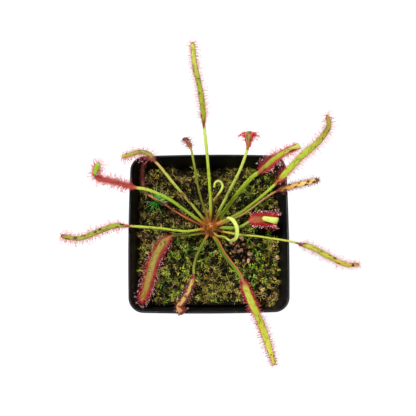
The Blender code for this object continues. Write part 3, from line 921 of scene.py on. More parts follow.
@dataclass
class Spines:
    """Slender bent shapes, each with its root, way, bend, length and width in millimetres."""

    roots: np.ndarray
    ways: np.ndarray
    bends: np.ndarray
    lengths: np.ndarray
    widths: np.ndarray

    def frames(self, ways: np.ndarray) -> tuple[np.ndarray, np.ndarray]:
        """The level and the rising direction across each way."""
        level = unit(np.cross(ways, np.array([0.013, 0.017, 1.0])))
        return level, np.cross(level, ways)

    def tips(self) -> np.ndarray:
        """Where each spine ends."""
        return self.roots + self.lengths[:, None] * (self.ways + self.bends)

    def shafts(self, shape: Shape) -> np.ndarray:
        """Bends a shaft along each spine.

        Args:
            shape: The shaft.

        Returns:
            The points, by spine, by point and by axis.
        """
        level, rising = self.frames(self.ways)
        share = shape.points[None, :, 2:3]
        run = self.lengths[:, None, None]
        middle = self.roots[:, None] + run * (self.ways[:, None] * share + self.bends[:, None] * share**2)
        spread = shape.points[None, :, 0:1] * level[:, None] + shape.points[None, :, 1:2] * rising[:, None]
        return middle + spread * self.widths[:, None, None]

    def heads(self, shape: Shape, sizes: np.ndarray, lift: float) -> np.ndarray:
        """Sets a bead at each tip.

        Args:
            shape: The bead.
            sizes: Radius of each bead.
            lift: How far past the tip its centre lies, in radii.

        Returns:
            The points, by spine, by point and by axis.
        """
        ahead = unit(self.ways + 2 * self.bends)
        level, rising = self.frames(ahead)
        tips = self.tips() + ahead * (sizes * lift)[:, None]
        spread = (
            shape.points[None, :, 0:1] * level[:, None]
            + shape.points[None, :, 1:2] * rising[:, None]
            + shape.points[None, :, 2:3] * ahead[:, None]
        )
        return tips[:, None] + spread * sizes[:, None, None]

    def kept(self, chosen: np.ndarray) -> "Spines":
        """Only the chosen ones."""
        return Spines(*(getattr(self, part.name)[chosen] for part in fields(self)))

    @classmethod
    def join(cls, groups: list["Spines"]) -> "Spines":
        """All the spines of several groups, in their order."""
        return cls(*(np.concatenate([getattr(group, part.name) for group in groups]) for part in fields(cls)))


def circle(middle: tuple[float, float], turn: np.ndarray, reach: object, level: object) -> np.ndarray:
    """Spots round a middle, each by its angle, its reach and its height."""
    x, y = middle[0] + reach * np.cos(turn), middle[1] + reach * np.sin(turn)
    return np.column_stack([x, y, np.broadcast_to(level, turn.shape)])


def speckle(x: float, y: float, coarse: float, layer: float) -> float:
    """One layer of soft noise over the ground, from about -1 to 1, as coarse as the given millimetres."""
    return noise.noise(Vector((x / coarse, y / coarse, layer)))


def crown_reach(level: object) -> object:
    """The crown's radius at a height, both in millimetres."""
    heights, radii = zip(*CROWN_PROFILE)
    return np.interp(level, heights, radii)


def pot_ring(height: float, inset: float, corner_steps: int = 12, side_steps: int = 12) -> np.ndarray:
    """The pot's outline at a height: a square with round corners and sides that bow out.

    Args:
        height: Height over the base in millimetres.
        inset: How far it is moved in.
        corner_steps: Points round each corner.
        side_steps: Points along each side.

    Returns:
        The points in order.
    """
    share = height / POT_HEIGHT
    half = BASE_HALF + (RIM_HALF - BASE_HALF) * share - inset
    bow = BASE_BOW + (RIM_BOW - BASE_BOW) * share
    radius = max(0.5, CORNER_RADIUS - inset)
    reach = half - radius
    points = []
    for corner in range(4):
        start = corner * math.pi / 2
        ahead = np.array([math.cos(start), math.sin(start)])
        left = np.array([-ahead[1], ahead[0]])
        for step in range(side_steps):
            points.append(ahead * half + left * (2 * step / side_steps - 1) * reach)
        for step in range(corner_steps):
            angle = start + math.pi / 2 * step / corner_steps
            points.append((ahead + left) * reach + radius * np.array([math.cos(angle), math.sin(angle)]))
    flat = np.array(points)
    bowed = flat * (1 + bow / half * (1 - (flat[:, ::-1] / half) ** 2))
    return np.column_stack([bowed, np.full(len(bowed), height)])


@dataclass
class NurseryPot:
    """The thin square pot: walls, rolled lip, floor and drain holes, in millimetres."""

    lip_depth: float = 9.0
    body_inset: float = 0.3
    floor: float = 1.2
    hole_radius: float = 3.0
    cut_depth: float = 6.0

    def profile(self) -> list[tuple[float, float]]:
        """The pot's section.

        Returns:
            Height and inset of each ring, from the foot up outside and down inside.
        """
        top = POT_HEIGHT
        foot = top - self.lip_depth
        body = self.body_inset
        outside = [(0.0, body + 0.5), (0.12, body + 0.2), (0.5, body)]
        outside += [(height, body) for height in (20.0, 40.0, 60.0, foot)]
        lip = [(foot + 0.1, body - 0.12), (foot + 0.5, 0.03), (foot + 0.9, 0.0), (top - 3.0, 0.0)]
        lip += [(top - 0.45, 0.0), (top - 0.16, 0.08), (top, 0.35), (top, LIP_WALL - 0.4)]
        lip += [(top - 0.14, LIP_WALL - 0.1), (top - 0.5, LIP_WALL)]
        inside = [(height, LIP_WALL) for height in (77.0, 70.0, 50.0, 25.0, self.floor + 0.6)]
        return outside + lip + inside + [(self.floor + 0.15, LIP_WALL + 0.2), (self.floor, LIP_WALL + 0.6)]

    def build(self) -> None:
        """Lofts the pot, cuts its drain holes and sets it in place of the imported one."""
        pot = Bench.loft("nursery_pot", np.array([pot_ring(*ring) for ring in self.profile()]))
        for number, (x, y) in enumerate(DRAIN_HOLES):
            self.drill(pot, number, x, y)
        Bench.clear_selection()
        pot.select_set(True)
        bpy.context.view_layer.objects.active = pot
        bpy.ops.object.shade_smooth_by_angle(angle=math.radians(40))
        Bench.hand_over(pot, PotPlastic().build(), "pot_plastic", ("pot",))

    def drill(self, pot: Piece, number: int, x: float, y: float) -> None:
        """Cuts one drain hole.

        Args:
            pot: The pot.
            number: The hole's number.
            x: Where it is, in millimetres.
            y: Where it is, in millimetres.
        """
        Bench.clear_selection()
        spot = (x * MM, y * MM, 0)
        radius, depth = self.hole_radius * MM, self.cut_depth * MM
        bpy.ops.mesh.primitive_cylinder_add(vertices=24, radius=radius, depth=depth, location=spot)
        cutter = bpy.context.object
        hole = pot.modifiers.new(f"drain_{number}", "BOOLEAN")
        hole.object = cutter
        hole.operation = "DIFFERENCE"
        bpy.context.view_layer.objects.active = pot
        bpy.ops.object.modifier_apply(modifier=hole.name)
        bpy.data.objects.remove(cutter)


class Ground:
    """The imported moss, read for the height of whatever stands on it."""

    ABOVE = 78.0
    USUAL = 62.5

    def __init__(self) -> None:
        """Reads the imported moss."""
        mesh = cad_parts["moss"].data
        points = [vert.co / MM for vert in mesh.vertices]
        self.tree = BVHTree.FromPolygons(points, [tuple(face.vertices) for face in mesh.polygons])

    def height(self, x: float, y: float) -> float:
        """The moss's height at a spot, or its usual height where there is none, in millimetres."""
        hit = self.tree.ray_cast(Vector((x, y, self.ABOVE)), Vector((0, 0, -1)))[0]
        return hit.z if hit else self.USUAL


@dataclass
class MossCarpet:
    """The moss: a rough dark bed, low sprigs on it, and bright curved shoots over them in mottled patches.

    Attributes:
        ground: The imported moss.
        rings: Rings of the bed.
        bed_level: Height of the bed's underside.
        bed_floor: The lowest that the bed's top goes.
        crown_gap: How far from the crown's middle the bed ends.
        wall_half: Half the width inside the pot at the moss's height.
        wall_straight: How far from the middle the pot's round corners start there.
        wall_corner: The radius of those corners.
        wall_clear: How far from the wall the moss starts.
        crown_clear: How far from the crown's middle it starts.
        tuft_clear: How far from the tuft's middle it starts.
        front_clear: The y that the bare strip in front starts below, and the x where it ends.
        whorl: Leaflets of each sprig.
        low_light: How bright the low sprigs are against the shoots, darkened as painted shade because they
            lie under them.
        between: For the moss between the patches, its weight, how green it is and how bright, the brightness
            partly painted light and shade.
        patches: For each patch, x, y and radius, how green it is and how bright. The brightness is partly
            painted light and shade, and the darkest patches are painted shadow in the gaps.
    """

    ground: Ground
    rings: int = 54
    bed_level: float = 61.3
    bed_floor: float = 61.5
    crown_gap: float = 4.1
    wall_half: float = 41.35
    wall_straight: float = 34.5
    wall_corner: float = 6.9
    wall_clear: float = 0.3
    crown_clear: float = 4.8
    tuft_clear: float = 2.8
    front_clear: tuple[float, float] = (-38.6, 27)
    whorl: int = 6
    low_light: float = 0.07
    between: Spot = (0.25, 0.45, 0.42)
    patches: tuple[tuple[float, float, float, float, float], ...] = (
        (-30, 34, 9, 0.15, 0.42), (-16, 35, 6, 0.12, 0.15), (-5, 38, 5, 0.5, 0.28),
        (8, 36, 7, 0.2, 0.26), (10, 26, 4, 0.85, 0.5), (25, 24, 8, 0.8, 0.46),
        (35, 28, 6, 0.7, 0.2), (35, 12, 6, 0.3, 0.06), (18, 14, 5, 0.4, 0.3),
        (-10, 22, 7, 0.25, 0.12), (-20, 12, 7, 0.25, 0.42), (-38, 10, 8, 0.2, 0.34),
        (-40, -6, 8, 0.3, 0.45), (-14, -7, 6.5, 0.95, 0.48), (-21, -17.5, 3.4, 0.2, 0.0),
        (-8.5, -14.5, 4.5, 0.65, 0.66), (2, -9, 5, 0.7, 0.55), (6, -17, 4.5, 0.3, 0.3),
        (0, -26, 4.5, 0.15, 0.4), (-25, -25, 6, 0.7, 0.55), (-19, -34, 5, 0.75, 0.6),
        (-34, -30, 7, 0.35, 0.35), (-12, -34, 3.5, 0.2, 0.1), (0, -34, 8, 0.44, 1.0),
        (10, -30, 5, 0.48, 1.0), (18, -36, 5, 0.3, 0.42), (24, -23, 6, 0.72, 0.54),
        (28, 0, 6.5, 0.78, 0.62), (31, -13, 5, 0.8, 0.6), (39, -8, 4.5, 0.35, 0.75),
        (38, -24, 7, 0.45, 0.8), (35, -36, 7, 0.25, 0.75),
    )

    def bare(self, x: float, y: float) -> float:
        """How bare the peat lies at a spot.

        Args:
            x: Where the spot is, in millimetres.
            y: Where the spot is, in millimetres.

        Returns:
            A number from 0 to 1.
        """
        long = ((x - BARE_X) - (y - BARE_Y)) * DIAGONAL
        wide = ((x - BARE_X) + (y - BARE_Y)) * DIAGONAL
        rough = 0.25 * speckle(x, y, 2.5, 21.0)
        return min(1.0, max(0.0, 2.1 - 1.75 * (math.hypot(long / BARE_LONG, wide / BARE_WIDE) + rough)))

    def look(self, x: float, y: float) -> tuple[float, float]:
        """How the moss looks at a spot.

        Args:
            x: Where the spot is, in millimetres.
            y: Where the spot is, in millimetres.

        Returns:
            How green it is and how bright, the brightness partly painted light and shade, each from about 0
            to 1.
        """
        total, green, bright = self.between
        tone, shine = total * green, total * bright
        for spot_x, spot_y, radius, green, bright in self.patches:
            share = math.exp(-((x - spot_x) ** 2 + (y - spot_y) ** 2) / radius**2)
            total, tone, shine = total + share, tone + share * green, shine + share * bright
        return tone / total + 0.3 * speckle(x, y, 4.0, 2.0), shine / total

    def build_bed(self) -> None:
        """Lofts the bed from the pot's wall to the crown and back below."""
        outer = pot_ring(self.bed_level, LIP_WALL + 0.3, 14, 26)
        turn = np.arctan2(outer[:, 1] - CROWN_Y, outer[:, 0] - CROWN_X)
        inner = circle((CROWN_X, CROWN_Y), turn, self.crown_gap, self.bed_level)
        rows = [outer]
        for step in range(self.rings + 1):
            spots = outer + (inner - outer) * step / self.rings
            for spot in spots:
                x, y = spot[:2]
                spot[2] = max(self.bed_floor, self.ground.height(x, y) - 0.35 + 0.5 * speckle(x, y, 1.3, 3.0))
            rows.append(spots)
        rings = np.array([*rows, inner, outer])
        bare = np.array([[self.bare(spot[0], spot[1]) for spot in row] for row in rings])
        Bench.hand_over(Bench.loft("moss_bed", rings, {"bare": bare}), MossBed().build(), "moss", ("moss",))

    def wall_gap(self, x: float, y: float) -> float:
        """How far a spot lies inside the pot's inner wall at the moss's height.

        Args:
            x: Where the spot is, in millimetres.
            y: Where the spot is, in millimetres.

        Returns:
            The distance in millimetres, below 0 outside the wall.
        """
        reach = self.wall_half + RIM_BOW * 0.8 * (1 - (min(abs(x), abs(y)) / self.wall_half) ** 2)
        gap = reach - max(abs(x), abs(y))
        over_x, over_y = abs(x) - self.wall_straight, abs(y) - self.wall_straight
        return min(gap, self.wall_corner - math.hypot(over_x, over_y)) if over_x > 0 and over_y > 0 else gap

    def grows(self, x: float, y: float) -> bool:
        """Whether moss grows at a spot, clear of the wall, the crown, the tuft and the bare strip in front.

        Args:
            x: Where the spot is, in millimetres.
            y: Where the spot is, in millimetres.

        Returns:
            The answer.
        """
        in_crown = math.hypot(x - CROWN_X, y - CROWN_Y) < self.crown_clear
        in_tuft = math.hypot(x - TUFT_X, y - TUFT_Y) < self.tuft_clear
        in_front = y < self.front_clear[0] and x < self.front_clear[1]
        return not (self.wall_gap(x, y) < self.wall_clear or in_crown or in_tuft or in_front)

    def climb(self, x: float, y: float) -> float:
        """How far the moss creeps up the pot's wall, in millimetres, more at the back left and both sides."""
        return 3.2 + (4.0 if x < -8 and y > 0 else 0.0) + (5.0 if abs(x) > 20 and -36 < y < 7 else 0.0)

    def spots(self, spacing: float, spread: float, gaps: float) -> np.ndarray:
        """Where one kind of sprig stands.

        Args:
            spacing: Distance from one to the next in millimetres.
            spread: How uneven their brightness is.
            gaps: How much of the ground is left dark between clumps, from 0 to 1.

        Returns:
            For each: x, y, height, tone, size and shine.
        """
        found = []
        rows = int(GROUND_WIDE / spacing)
        for place in np.ndindex(rows, rows):
            x, y = ((k - rows / 2 + 0.5) * spacing + RNG.uniform(-0.9, 0.9) * spacing for k in place)
            clump = speckle(x, y, 2.1, 11.0) + 0.5 * speckle(x, y, 5.5, 4.0)
            tone, shine = self.look(x, y)
            if not self.grows(x, y) or clump + 0.5 * shine < gaps - 0.5:
                continue
            if RNG.random() < 1.2 * self.bare(x, y):
                continue
            size = RNG.uniform(0.7, 1.35) * (1 + 0.35 * clump)
            crept = self.climb(x, y) * RNG.random() * math.exp(-self.wall_gap(x, y) / 1.3)
            height = self.ground.height(x, y) - 0.5 + clump + crept
            # Painted light and shade: raised clumps are brighter and low ones darker, with a random spread.
            lit = 1.5 * shine * (1 + clump) * RNG.lognormal(-0.3 * spread**2, spread)
            found.append((x, y, height, tone + RNG.normal(0, 0.2), size, min(1.0, max(0.01, lit))))
        return np.array(found)

    def build_sprigs(self) -> None:
        """Grows the low sprigs, and over them the longer curved shoots."""
        finish = MossLeaf().build()
        leaflet = Bench.spindle(3, ((0.0, 1.0), (1.0, 0.06)), 0.4)
        low = self.spots(2.1, 0.8, 0.0)
        # Painted shade: the low sprigs under the shoots are darkened.
        low[:, 5] *= self.low_light
        self.tier("moss_low_sprigs", leaflet, low, (0.5, 0.35), (1.9, 0.42), finish)
        shoot = Bench.spindle(3, ((0.0, 0.55), (0.35, 1.0), (0.7, 0.75), (1.0, 0.1)), 0.5)
        stars = self.spots(1.15, 1.4, 0.86)
        behind = stars[:, 1] > 0
        for name, chosen in (("moss_shoots_back", behind), ("moss_shoots_front", ~behind)):
            self.tier(name, shoot, stars[chosen], (0.7, 0.5), (1.5, 0.26), finish)

    def tier(
        self,
        name: str,
        leaflet: Shape,
        spots: np.ndarray,
        rise: tuple[float, float],
        size: tuple[float, float],
        finish: Finish,
    ) -> None:
        """Makes one piece of many sprigs, each a whorl of leaflets.

        Args:
            name: The piece's name.
            leaflet: The modelled leaflet.
            spots: The sprigs.
            rise: How steeply the leaflets stand, and how much that varies.
            size: Their length and half width in millimetres.
            finish: Their material.
        """
        bundle = Bundle()
        number = len(spots)
        lean = RNG.normal(0, 0.45, (number, 2))
        start = RNG.uniform(0, math.tau, number)
        for leaf in range(self.whorl):
            turn = start + math.tau * leaf / self.whorl + RNG.normal(0, 0.45, number)
            ways = compass(turn, RNG.normal(*rise, number))
            ways[:, :2] += lean
            aside = RNG.normal(0, 0.45, number)
            fall = RNG.uniform(-0.35, 0.3, number)
            bends = np.column_stack([-np.sin(turn) * aside, np.cos(turn) * aside, fall])
            roots = spots[:, :3] + np.column_stack([RNG.normal(0, 0.35, (number, 2)), np.zeros(number)])
            lengths = size[0] * spots[:, 4] * RNG.uniform(0.55, 1.35, number)
            spines = Spines(roots, unit(ways), bends, lengths, size[1] * RNG.uniform(0.7, 1.3, number))
            shine = spots[:, 5] * RNG.lognormal(-0.1, 0.7, number)
            bundle.add(
                leaflet,
                spines.shafts(leaflet),
                rise=leaflet.points[None, :, 2],
                tone=spots[:, 3:4] + RNG.normal(0, 0.08, (number, 1)),
                tint=(RNG.random((number, 1)) ** 1.3) * np.minimum(1, 0.3 + spots[:, 5:6]),
                shine=np.clip(shine, 0, 1)[:, None],
            )
        Bench.hand_over(bundle.piece(name), finish, "moss")


@dataclass
class HaircapTuft:
    """The dark green moss plant at the left, a star of thin needles round a low core, in millimetres."""

    reach: float = 10.2
    needles: int = 54
    foot: float = 64.6
    core_level: float = 63.6
    core_radius: float = 1.9
    # Painted shade darkens the needle bases and the core; the lighter needle tips are partly painted
    # highlight.
    skin: MossLeaf = MossLeaf(
        "haircap_needle",
        ((0.0, srgb(52, 172, 56)), (0.5, srgb(76, 210, 74)), (1.0, srgb(150, 236, 100))),
        srgb(6, 20, 6),
        srgb(214, 250, 180),
        0.8,
    )

    def build(self) -> None:
        """Grows the needles over the core."""
        needle = Bench.spindle(4, ((0.0, 0.8), (0.3, 1.0), (0.65, 0.75), (1.0, 0.12)), 0.5)
        count = self.needles
        turn = RNG.uniform(0, math.tau, count)
        lift = RNG.uniform(0.05, 1.1, count) ** 1.3
        roots = circle((TUFT_X, TUFT_Y), turn, 0.5, self.foot + 1.8 * RNG.random(count))
        bends = circle((0, 0), turn, 0.1, RNG.uniform(-0.25, 0.05, count))
        lengths = self.reach * RNG.uniform(0.5, 1.0, count) / (1 + 0.35 * lift)
        spines = Spines(roots, unit(compass(turn, lift)), bends, lengths, RNG.uniform(0.12, 0.2, count))
        marks = {key: RNG.random((count, 1)) for key in ("tone", "tint")}
        marks["shine"] = RNG.uniform(0.4, 1, (count, 1))
        rise = 0.3 + 0.7 * needle.points[None, :, 2]
        bundle = Bundle()
        bundle.add(needle, spines.shafts(needle), rise=rise, **marks)
        core = Bench.bead(0.9, True)
        lump = core.points[None] * self.core_radius + np.array([TUFT_X, TUFT_Y, self.core_level])
        marks = {"rise": 0.3, "tone": 0.6, "tint": 0.0, "shine": 0.6}
        bundle.add(core, lump, **{key: np.full((1, 1), value) for key, value in marks.items()})
        Bench.hand_over(bundle.piece("haircap_tuft"), self.skin.build(), "haircap", ("haircap_moss",))


@dataclass(frozen=True)
class Scrap:
    """One scrap of bark or twig on the moss, in millimetres and degrees."""

    name: str
    node: str
    x: float
    y: float
    turn: float
    size: Spot
    tone: float
    bark: Bark


@dataclass(frozen=True)
class Strand:
    """One root or straw on the moss: where it passes and its radius in millimetres, and how pale it is."""

    spots: tuple[tuple[float, float], ...]
    radius: float
    tone: float


@dataclass
class Litter:
    """Bark scraps, peat crumbs and grit, a twig, thin roots and pale flakes.

    Attributes:
        ground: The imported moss.
        level: Height that the scraps lie at.
        crumbs: Number of crumbs on the bare patch.
        flakes: Number of pale flakes on the moss.
        scraps: The scraps.
        grit: For each larger bit of grit, x, y, its size and how pale it is.
        strands: The roots and straws.
    """

    ground: Ground
    level: float = 63.2
    crumbs: int = 110
    flakes: int = 130
    scraps: tuple[Scrap, ...] = (
        Scrap(
            "chip_brown", "bark_chip", 18.3, -8.5, 20, (4.6, 2.6, 1.4), 0.3,
            Bark("bark_brown", srgb(28, 17, 11), srgb(124, 76, 40), (1.0, 2.5, 1.0)),
        ),
        Scrap(
            "chip_pale", "bark_chip_pale", 23.2, -14.6, 75, (3.2, 2.0, 1.2), 0.75,
            Bark("bark_pale", srgb(104, 78, 50), srgb(176, 146, 104), (2.5, 1.0, 1.0)),
        ),
        Scrap(
            "twig_scrap", "twig", 30.0, -34.0, 8, (7.5, 1.0, 1.0), 0.2,
            Bark("twig_brown", srgb(88, 62, 40), srgb(150, 116, 80), (1.0, 3.0, 3.0)),
        ),
    )
    grit: tuple[tuple[float, float, float, float], ...] = (
        (19.4, -0.9, 1.6, 0.95), (24.2, -10.5, 1.7, 1.0), (20.6, -14.2, 1.1, 0.4), (14.7, -9.2, 1.3, 0.28),
        (13.2, -3.9, 1.1, 0.6), (10.4, -5.1, 0.8, 0.9), (16.5, -5.6, 1.0, 0.2), (28.2, -14.2, 1.1, 0.3),
        (20.6, -4.6, 1.0, 0.35), (30.9, -32.1, 1.0, 1.0), (26.0, -4.5, 0.9, 0.6), (40.6, -12.6, 1.6, 0.8),
        (38.4, -5.9, 1.1, 1.0),
    )
    strands: tuple[Strand, ...] = (
        Strand(((-6.9, -25.1), (-2.5, -25.7), (1.5, -24.9), (5.5, -25.2)), 0.22, 0.0),
        Strand(((27.1, -35.1), (29.5, -35.6), (31.5, -34.8), (33.0, -35.1)), 0.25, 0.8),
        Strand(((36.6, -7.6), (37.4, -6.4), (38.0, -5.6), (38.2, -4.6)), 0.3, 1.0),
        Strand(((12.0, -33.0), (14.0, -31.8), (16.5, -31.6), (18.0, -32.4)), 0.16, 0.8),
        Strand(((-22.0, -30.0), (-20.5, -28.0), (-19.8, -26.2), (-20.2, -24.0)), 0.16, 0.8),
        Strand(((8.0, 30.0), (10.4, 29.4), (12.8, 30.2), (14.4, 31.0)), 0.15, 0.8),
    )

    def build(self) -> None:
        """Lays all the litter."""
        finishes = [self.build_scrap(scrap) for scrap in self.scraps]
        self.build_crumbs(finishes[0])
        self.build_roots(finishes[0])

    def build_scrap(self, scrap: Scrap) -> Finish:
        """Models one scrap from a block that is subdivided with rough, uneven cuts.

        Args:
            scrap: The scrap.

        Returns:
            The finish of its bark.
        """
        long, wide, high = scrap.size
        Bench.clear_selection()
        bpy.ops.mesh.primitive_cube_add(size=1, location=(0, 0, 0))
        piece = bpy.context.object
        piece.name = piece.data.name = scrap.name
        Bench.edit()
        bpy.ops.transform.resize(value=(long * 0.82 * MM, wide * 0.78 * MM, high * 0.75 * MM))
        bpy.ops.mesh.bevel(offset=0.25 * MM, segments=2, affect="EDGES")
        bpy.ops.mesh.select_all(action="SELECT")
        bpy.ops.mesh.subdivide(number_cuts=2, fractal=0.9, fractal_along_normal=0.4, seed=int(scrap.turn))
        bpy.ops.mesh.vertices_smooth(factor=0.4)
        bpy.ops.object.mode_set(mode="OBJECT")
        piece.rotation_euler.z = math.radians(scrap.turn)
        lowest = min(vert.co.z for vert in piece.data.vertices)
        piece.location = (scrap.x * MM, scrap.y * MM, self.level * MM - lowest)
        bpy.ops.object.transform_apply(location=True, rotation=True)
        bpy.ops.object.shade_smooth_by_angle(angle=math.radians(45))
        Bench.mark(piece.data, "tone", np.full(len(piece.data.vertices), scrap.tone))
        finish = scrap.bark.build()
        Bench.hand_over(piece, finish, "bark", (scrap.node,))
        return finish

    def build_crumbs(self, finish: Finish) -> None:
        """Scatters crumbs over the bare patch and flakes over the moss, with the larger grit where it lies.

        Args:
            finish: Their bark.
        """
        spots = []
        for _ in range(self.crumbs):
            turn, away = RNG.uniform(0, math.tau), 0.95 * math.sqrt(RNG.random())
            long = BARE_LONG * away * math.cos(turn) * DIAGONAL
            wide = BARE_WIDE * away * math.sin(turn) * DIAGONAL
            size = 0.2 + 0.75 * RNG.random() ** 3
            spots.append((BARE_X + long + wide, BARE_Y - long + wide, size, 0.3 * RNG.random() ** 3, 0.0))
        for _ in range(self.flakes):
            x, y = RNG.uniform(-40, 40), RNG.uniform(-39, 39)
            spots.append((x, y, RNG.uniform(0.2, 0.42), RNG.random() ** 0.6, 0.9))
        crumb = Bench.bead(0.75, False)
        bundle = Bundle()
        for x, y, size, tone, lift in spots + [(*bit, 0.0) for bit in self.grit]:
            rough = 1 + 0.3 * RNG.uniform(-1, 1, crumb.points.shape)
            turn = Matrix.Rotation(RNG.uniform(0, math.tau), 3, "Z") @ Matrix.Diagonal((1.3, 0.8, 1.0))
            placed = (crumb.points * rough * size) @ np.array(turn).T
            placed += np.array([x, y, self.ground.height(x, y) + size * 0.45 + lift])
            bundle.add(crumb, placed[None], tone=np.full((1, 1), tone))
        Bench.hand_over(bundle.piece("peat_crumbs"), finish, "bark")

    def build_roots(self, finish: Finish) -> None:
        """Draws the thin roots and straws as curves, and makes them one mesh.

        Args:
            finish: Their bark.
        """
        drawn = [self.draw(strand) for strand in self.strands]
        Bench.clear_selection()
        for strand in drawn:
            strand.select_set(True)
        bpy.context.view_layer.objects.active = drawn[0]
        bpy.ops.object.join()
        piece = bpy.context.object
        piece.name = piece.data.name = "fine_roots"
        Bench.hand_over(piece, finish, "bark")

    def draw(self, strand: Strand) -> Piece:
        """Lays one thin strand on the moss.

        Args:
            strand: The strand.

        Returns:
            It as a mesh.
        """
        Bench.clear_selection()
        bpy.ops.curve.primitive_nurbs_path_add()
        path = bpy.context.object.data
        path.splines.clear()
        spline = path.splines.new("BEZIER")
        spline.bezier_points.add(len(strand.spots) - 1)
        for point, (x, y) in zip(spline.bezier_points, strand.spots):
            point.co = Vector((x, y, self.ground.height(x, y) + 1.3)) * MM
            point.handle_left_type = point.handle_right_type = "AUTO"
            point.radius = 1.0
        spline.bezier_points[-1].radius = 0.4
        path.dimensions = "3D"
        path.bevel_depth = strand.radius * MM
        path.bevel_resolution = 1
        path.resolution_u = 5
        path.use_fill_caps = True
        bpy.ops.object.convert(target="MESH")
        piece = bpy.context.object
        Bench.mark(piece.data, "tone", np.full(len(piece.data.vertices), strand.tone))
        return piece


@dataclass
class Crown:
    """The orange-brown crown that every leaf starts from, with papery stipules between the leaf bases."""

    sides: int = 28
    rings: int = 34
    stipules: int = 240
    stipule_top: float = 77.3
    stipule_run: float = 12.0

    def build(self) -> None:
        """Lofts the stub and grows its stipules."""
        finish = CrownSkin().build()
        turn = np.arange(self.sides) * math.tau / self.sides
        rows = []
        for level in np.linspace(CROWN_PROFILE[0][0], CROWN_PROFILE[-1][0], self.rings):
            around = [Vector((math.cos(t) * 1.6, math.sin(t) * 1.6, level / 2.2)) for t in turn]
            reach = crown_reach(level) * (1 + 0.16 * np.array([noise.noise(spot) for spot in around]))
            rows.append(circle((CROWN_X, CROWN_Y), turn, reach, level))
        rings = np.array(rows)
        stub = Bench.loft("crown_stub", rings, {"rise": np.zeros(rings.shape[:2])})
        Bench.hand_over(stub, finish, "crown", ("crown",))
        self.grow_stipules(finish)

    def grow_stipules(self, finish: Finish) -> None:
        """Grows the papery stipules.

        Args:
            finish: Their material.
        """
        shape = Bench.spindle(4, ((0.0, 0.8), (0.35, 1.0), (0.7, 0.6), (1.0, 0.08)), 0.25)
        count = self.stipules
        turn = RNG.uniform(0, math.tau, count)
        level = self.stipule_top - self.stipule_run * RNG.random(count) ** 1.3
        roots = circle((CROWN_X, CROWN_Y), turn, crown_reach(level) * RNG.uniform(0.7, 0.98, count), level)
        out = compass(turn, 0.0)
        ways = out * RNG.uniform(0.2, 1.3, (count, 1)) + np.array([0, 0, 1.0])
        ways = unit(ways + RNG.normal(0, 0.25, (count, 3)))
        bends = out * RNG.uniform(0.0, 0.35, (count, 1))
        spines = Spines(roots, ways, bends, RNG.uniform(1.4, 3.6, count), RNG.uniform(0.12, 0.28, count))
        bundle = Bundle()
        rise = shape.points[None, :, 2] * RNG.uniform(0.3, 1.0, (count, 1))
        bundle.add(shape, spines.shafts(shape), rise=rise)
        Bench.hand_over(bundle.piece("crown_stipules"), finish, "crown")


@dataclass(frozen=True)
class LeafForm:
    """One leaf: its line and widths in millimetres, its turns in degrees, and its looks.

    Attributes:
        name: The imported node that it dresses.
        growth: Its material slot.
        azimuth: Which way it leaves the crown.
        seat: Height of its seat on the crown.
        route: Where it passes after its seat.
        joint: Which spot of the route ends the stalk.
        widths: Width of the stalk, the blade and the tip.
        skin: Its finish.
        fringe: Length of its tentacles, 0 for a leaf that has hardly any.
        hair: Their finish.
        facing: Which side of the blade bears them.
        curl: Radius and angle of a tip that is rolled over.
        on_edge: Whether it stands on its edge.
        bare_end: Steps at its end that bear no tentacles.
        fringed_curl: Whether the rolled tip bears tentacles.
        tip_turn: The stage where the blade turns about its own line, and how far.
        dew: Share of the long tentacles that hold a drop.
        crowding: Distance between the tentacles, 1 for the usual one.
        stout: How thick the tentacles are.
        splay: How unevenly they lean along the blade.
        fan: How far they lean back near the joint and ahead near the tip.
        foot: Length of the tentacles next to the joint.
        crest: Length of the tentacles towards the tip.
        thinning: How much thinner the blade is than the stalk.
        withered: How shrunken and puckered the blade is.
        blots: For each stain its stage, its place across, its length and its width.
    """

    name: str
    growth: Growth
    azimuth: float
    seat: float
    route: tuple[Spot, ...]
    joint: int
    widths: tuple[float, float, float]
    skin: LeafSkin
    fringe: float = 1.0
    hair: Hair = Hair.BRIGHT
    facing: Facing = Facing.DOWN
    curl: tuple[float, float] = (0.0, 0.0)
    on_edge: bool = False
    bare_end: int = 0
    fringed_curl: bool = False
    tip_turn: tuple[float, float] = (2.0, 0.0)
    dew: float = 0.3
    crowding: float = 1.0
    stout: float = 1.3
    splay: float = 0.22
    fan: float = 0.0
    foot: float = 1.0
    crest: float = 1.0
    thinning: float = 0.5
    withered: float = 0.0
    blots: tuple[tuple[float, float, float, float], ...] = ()


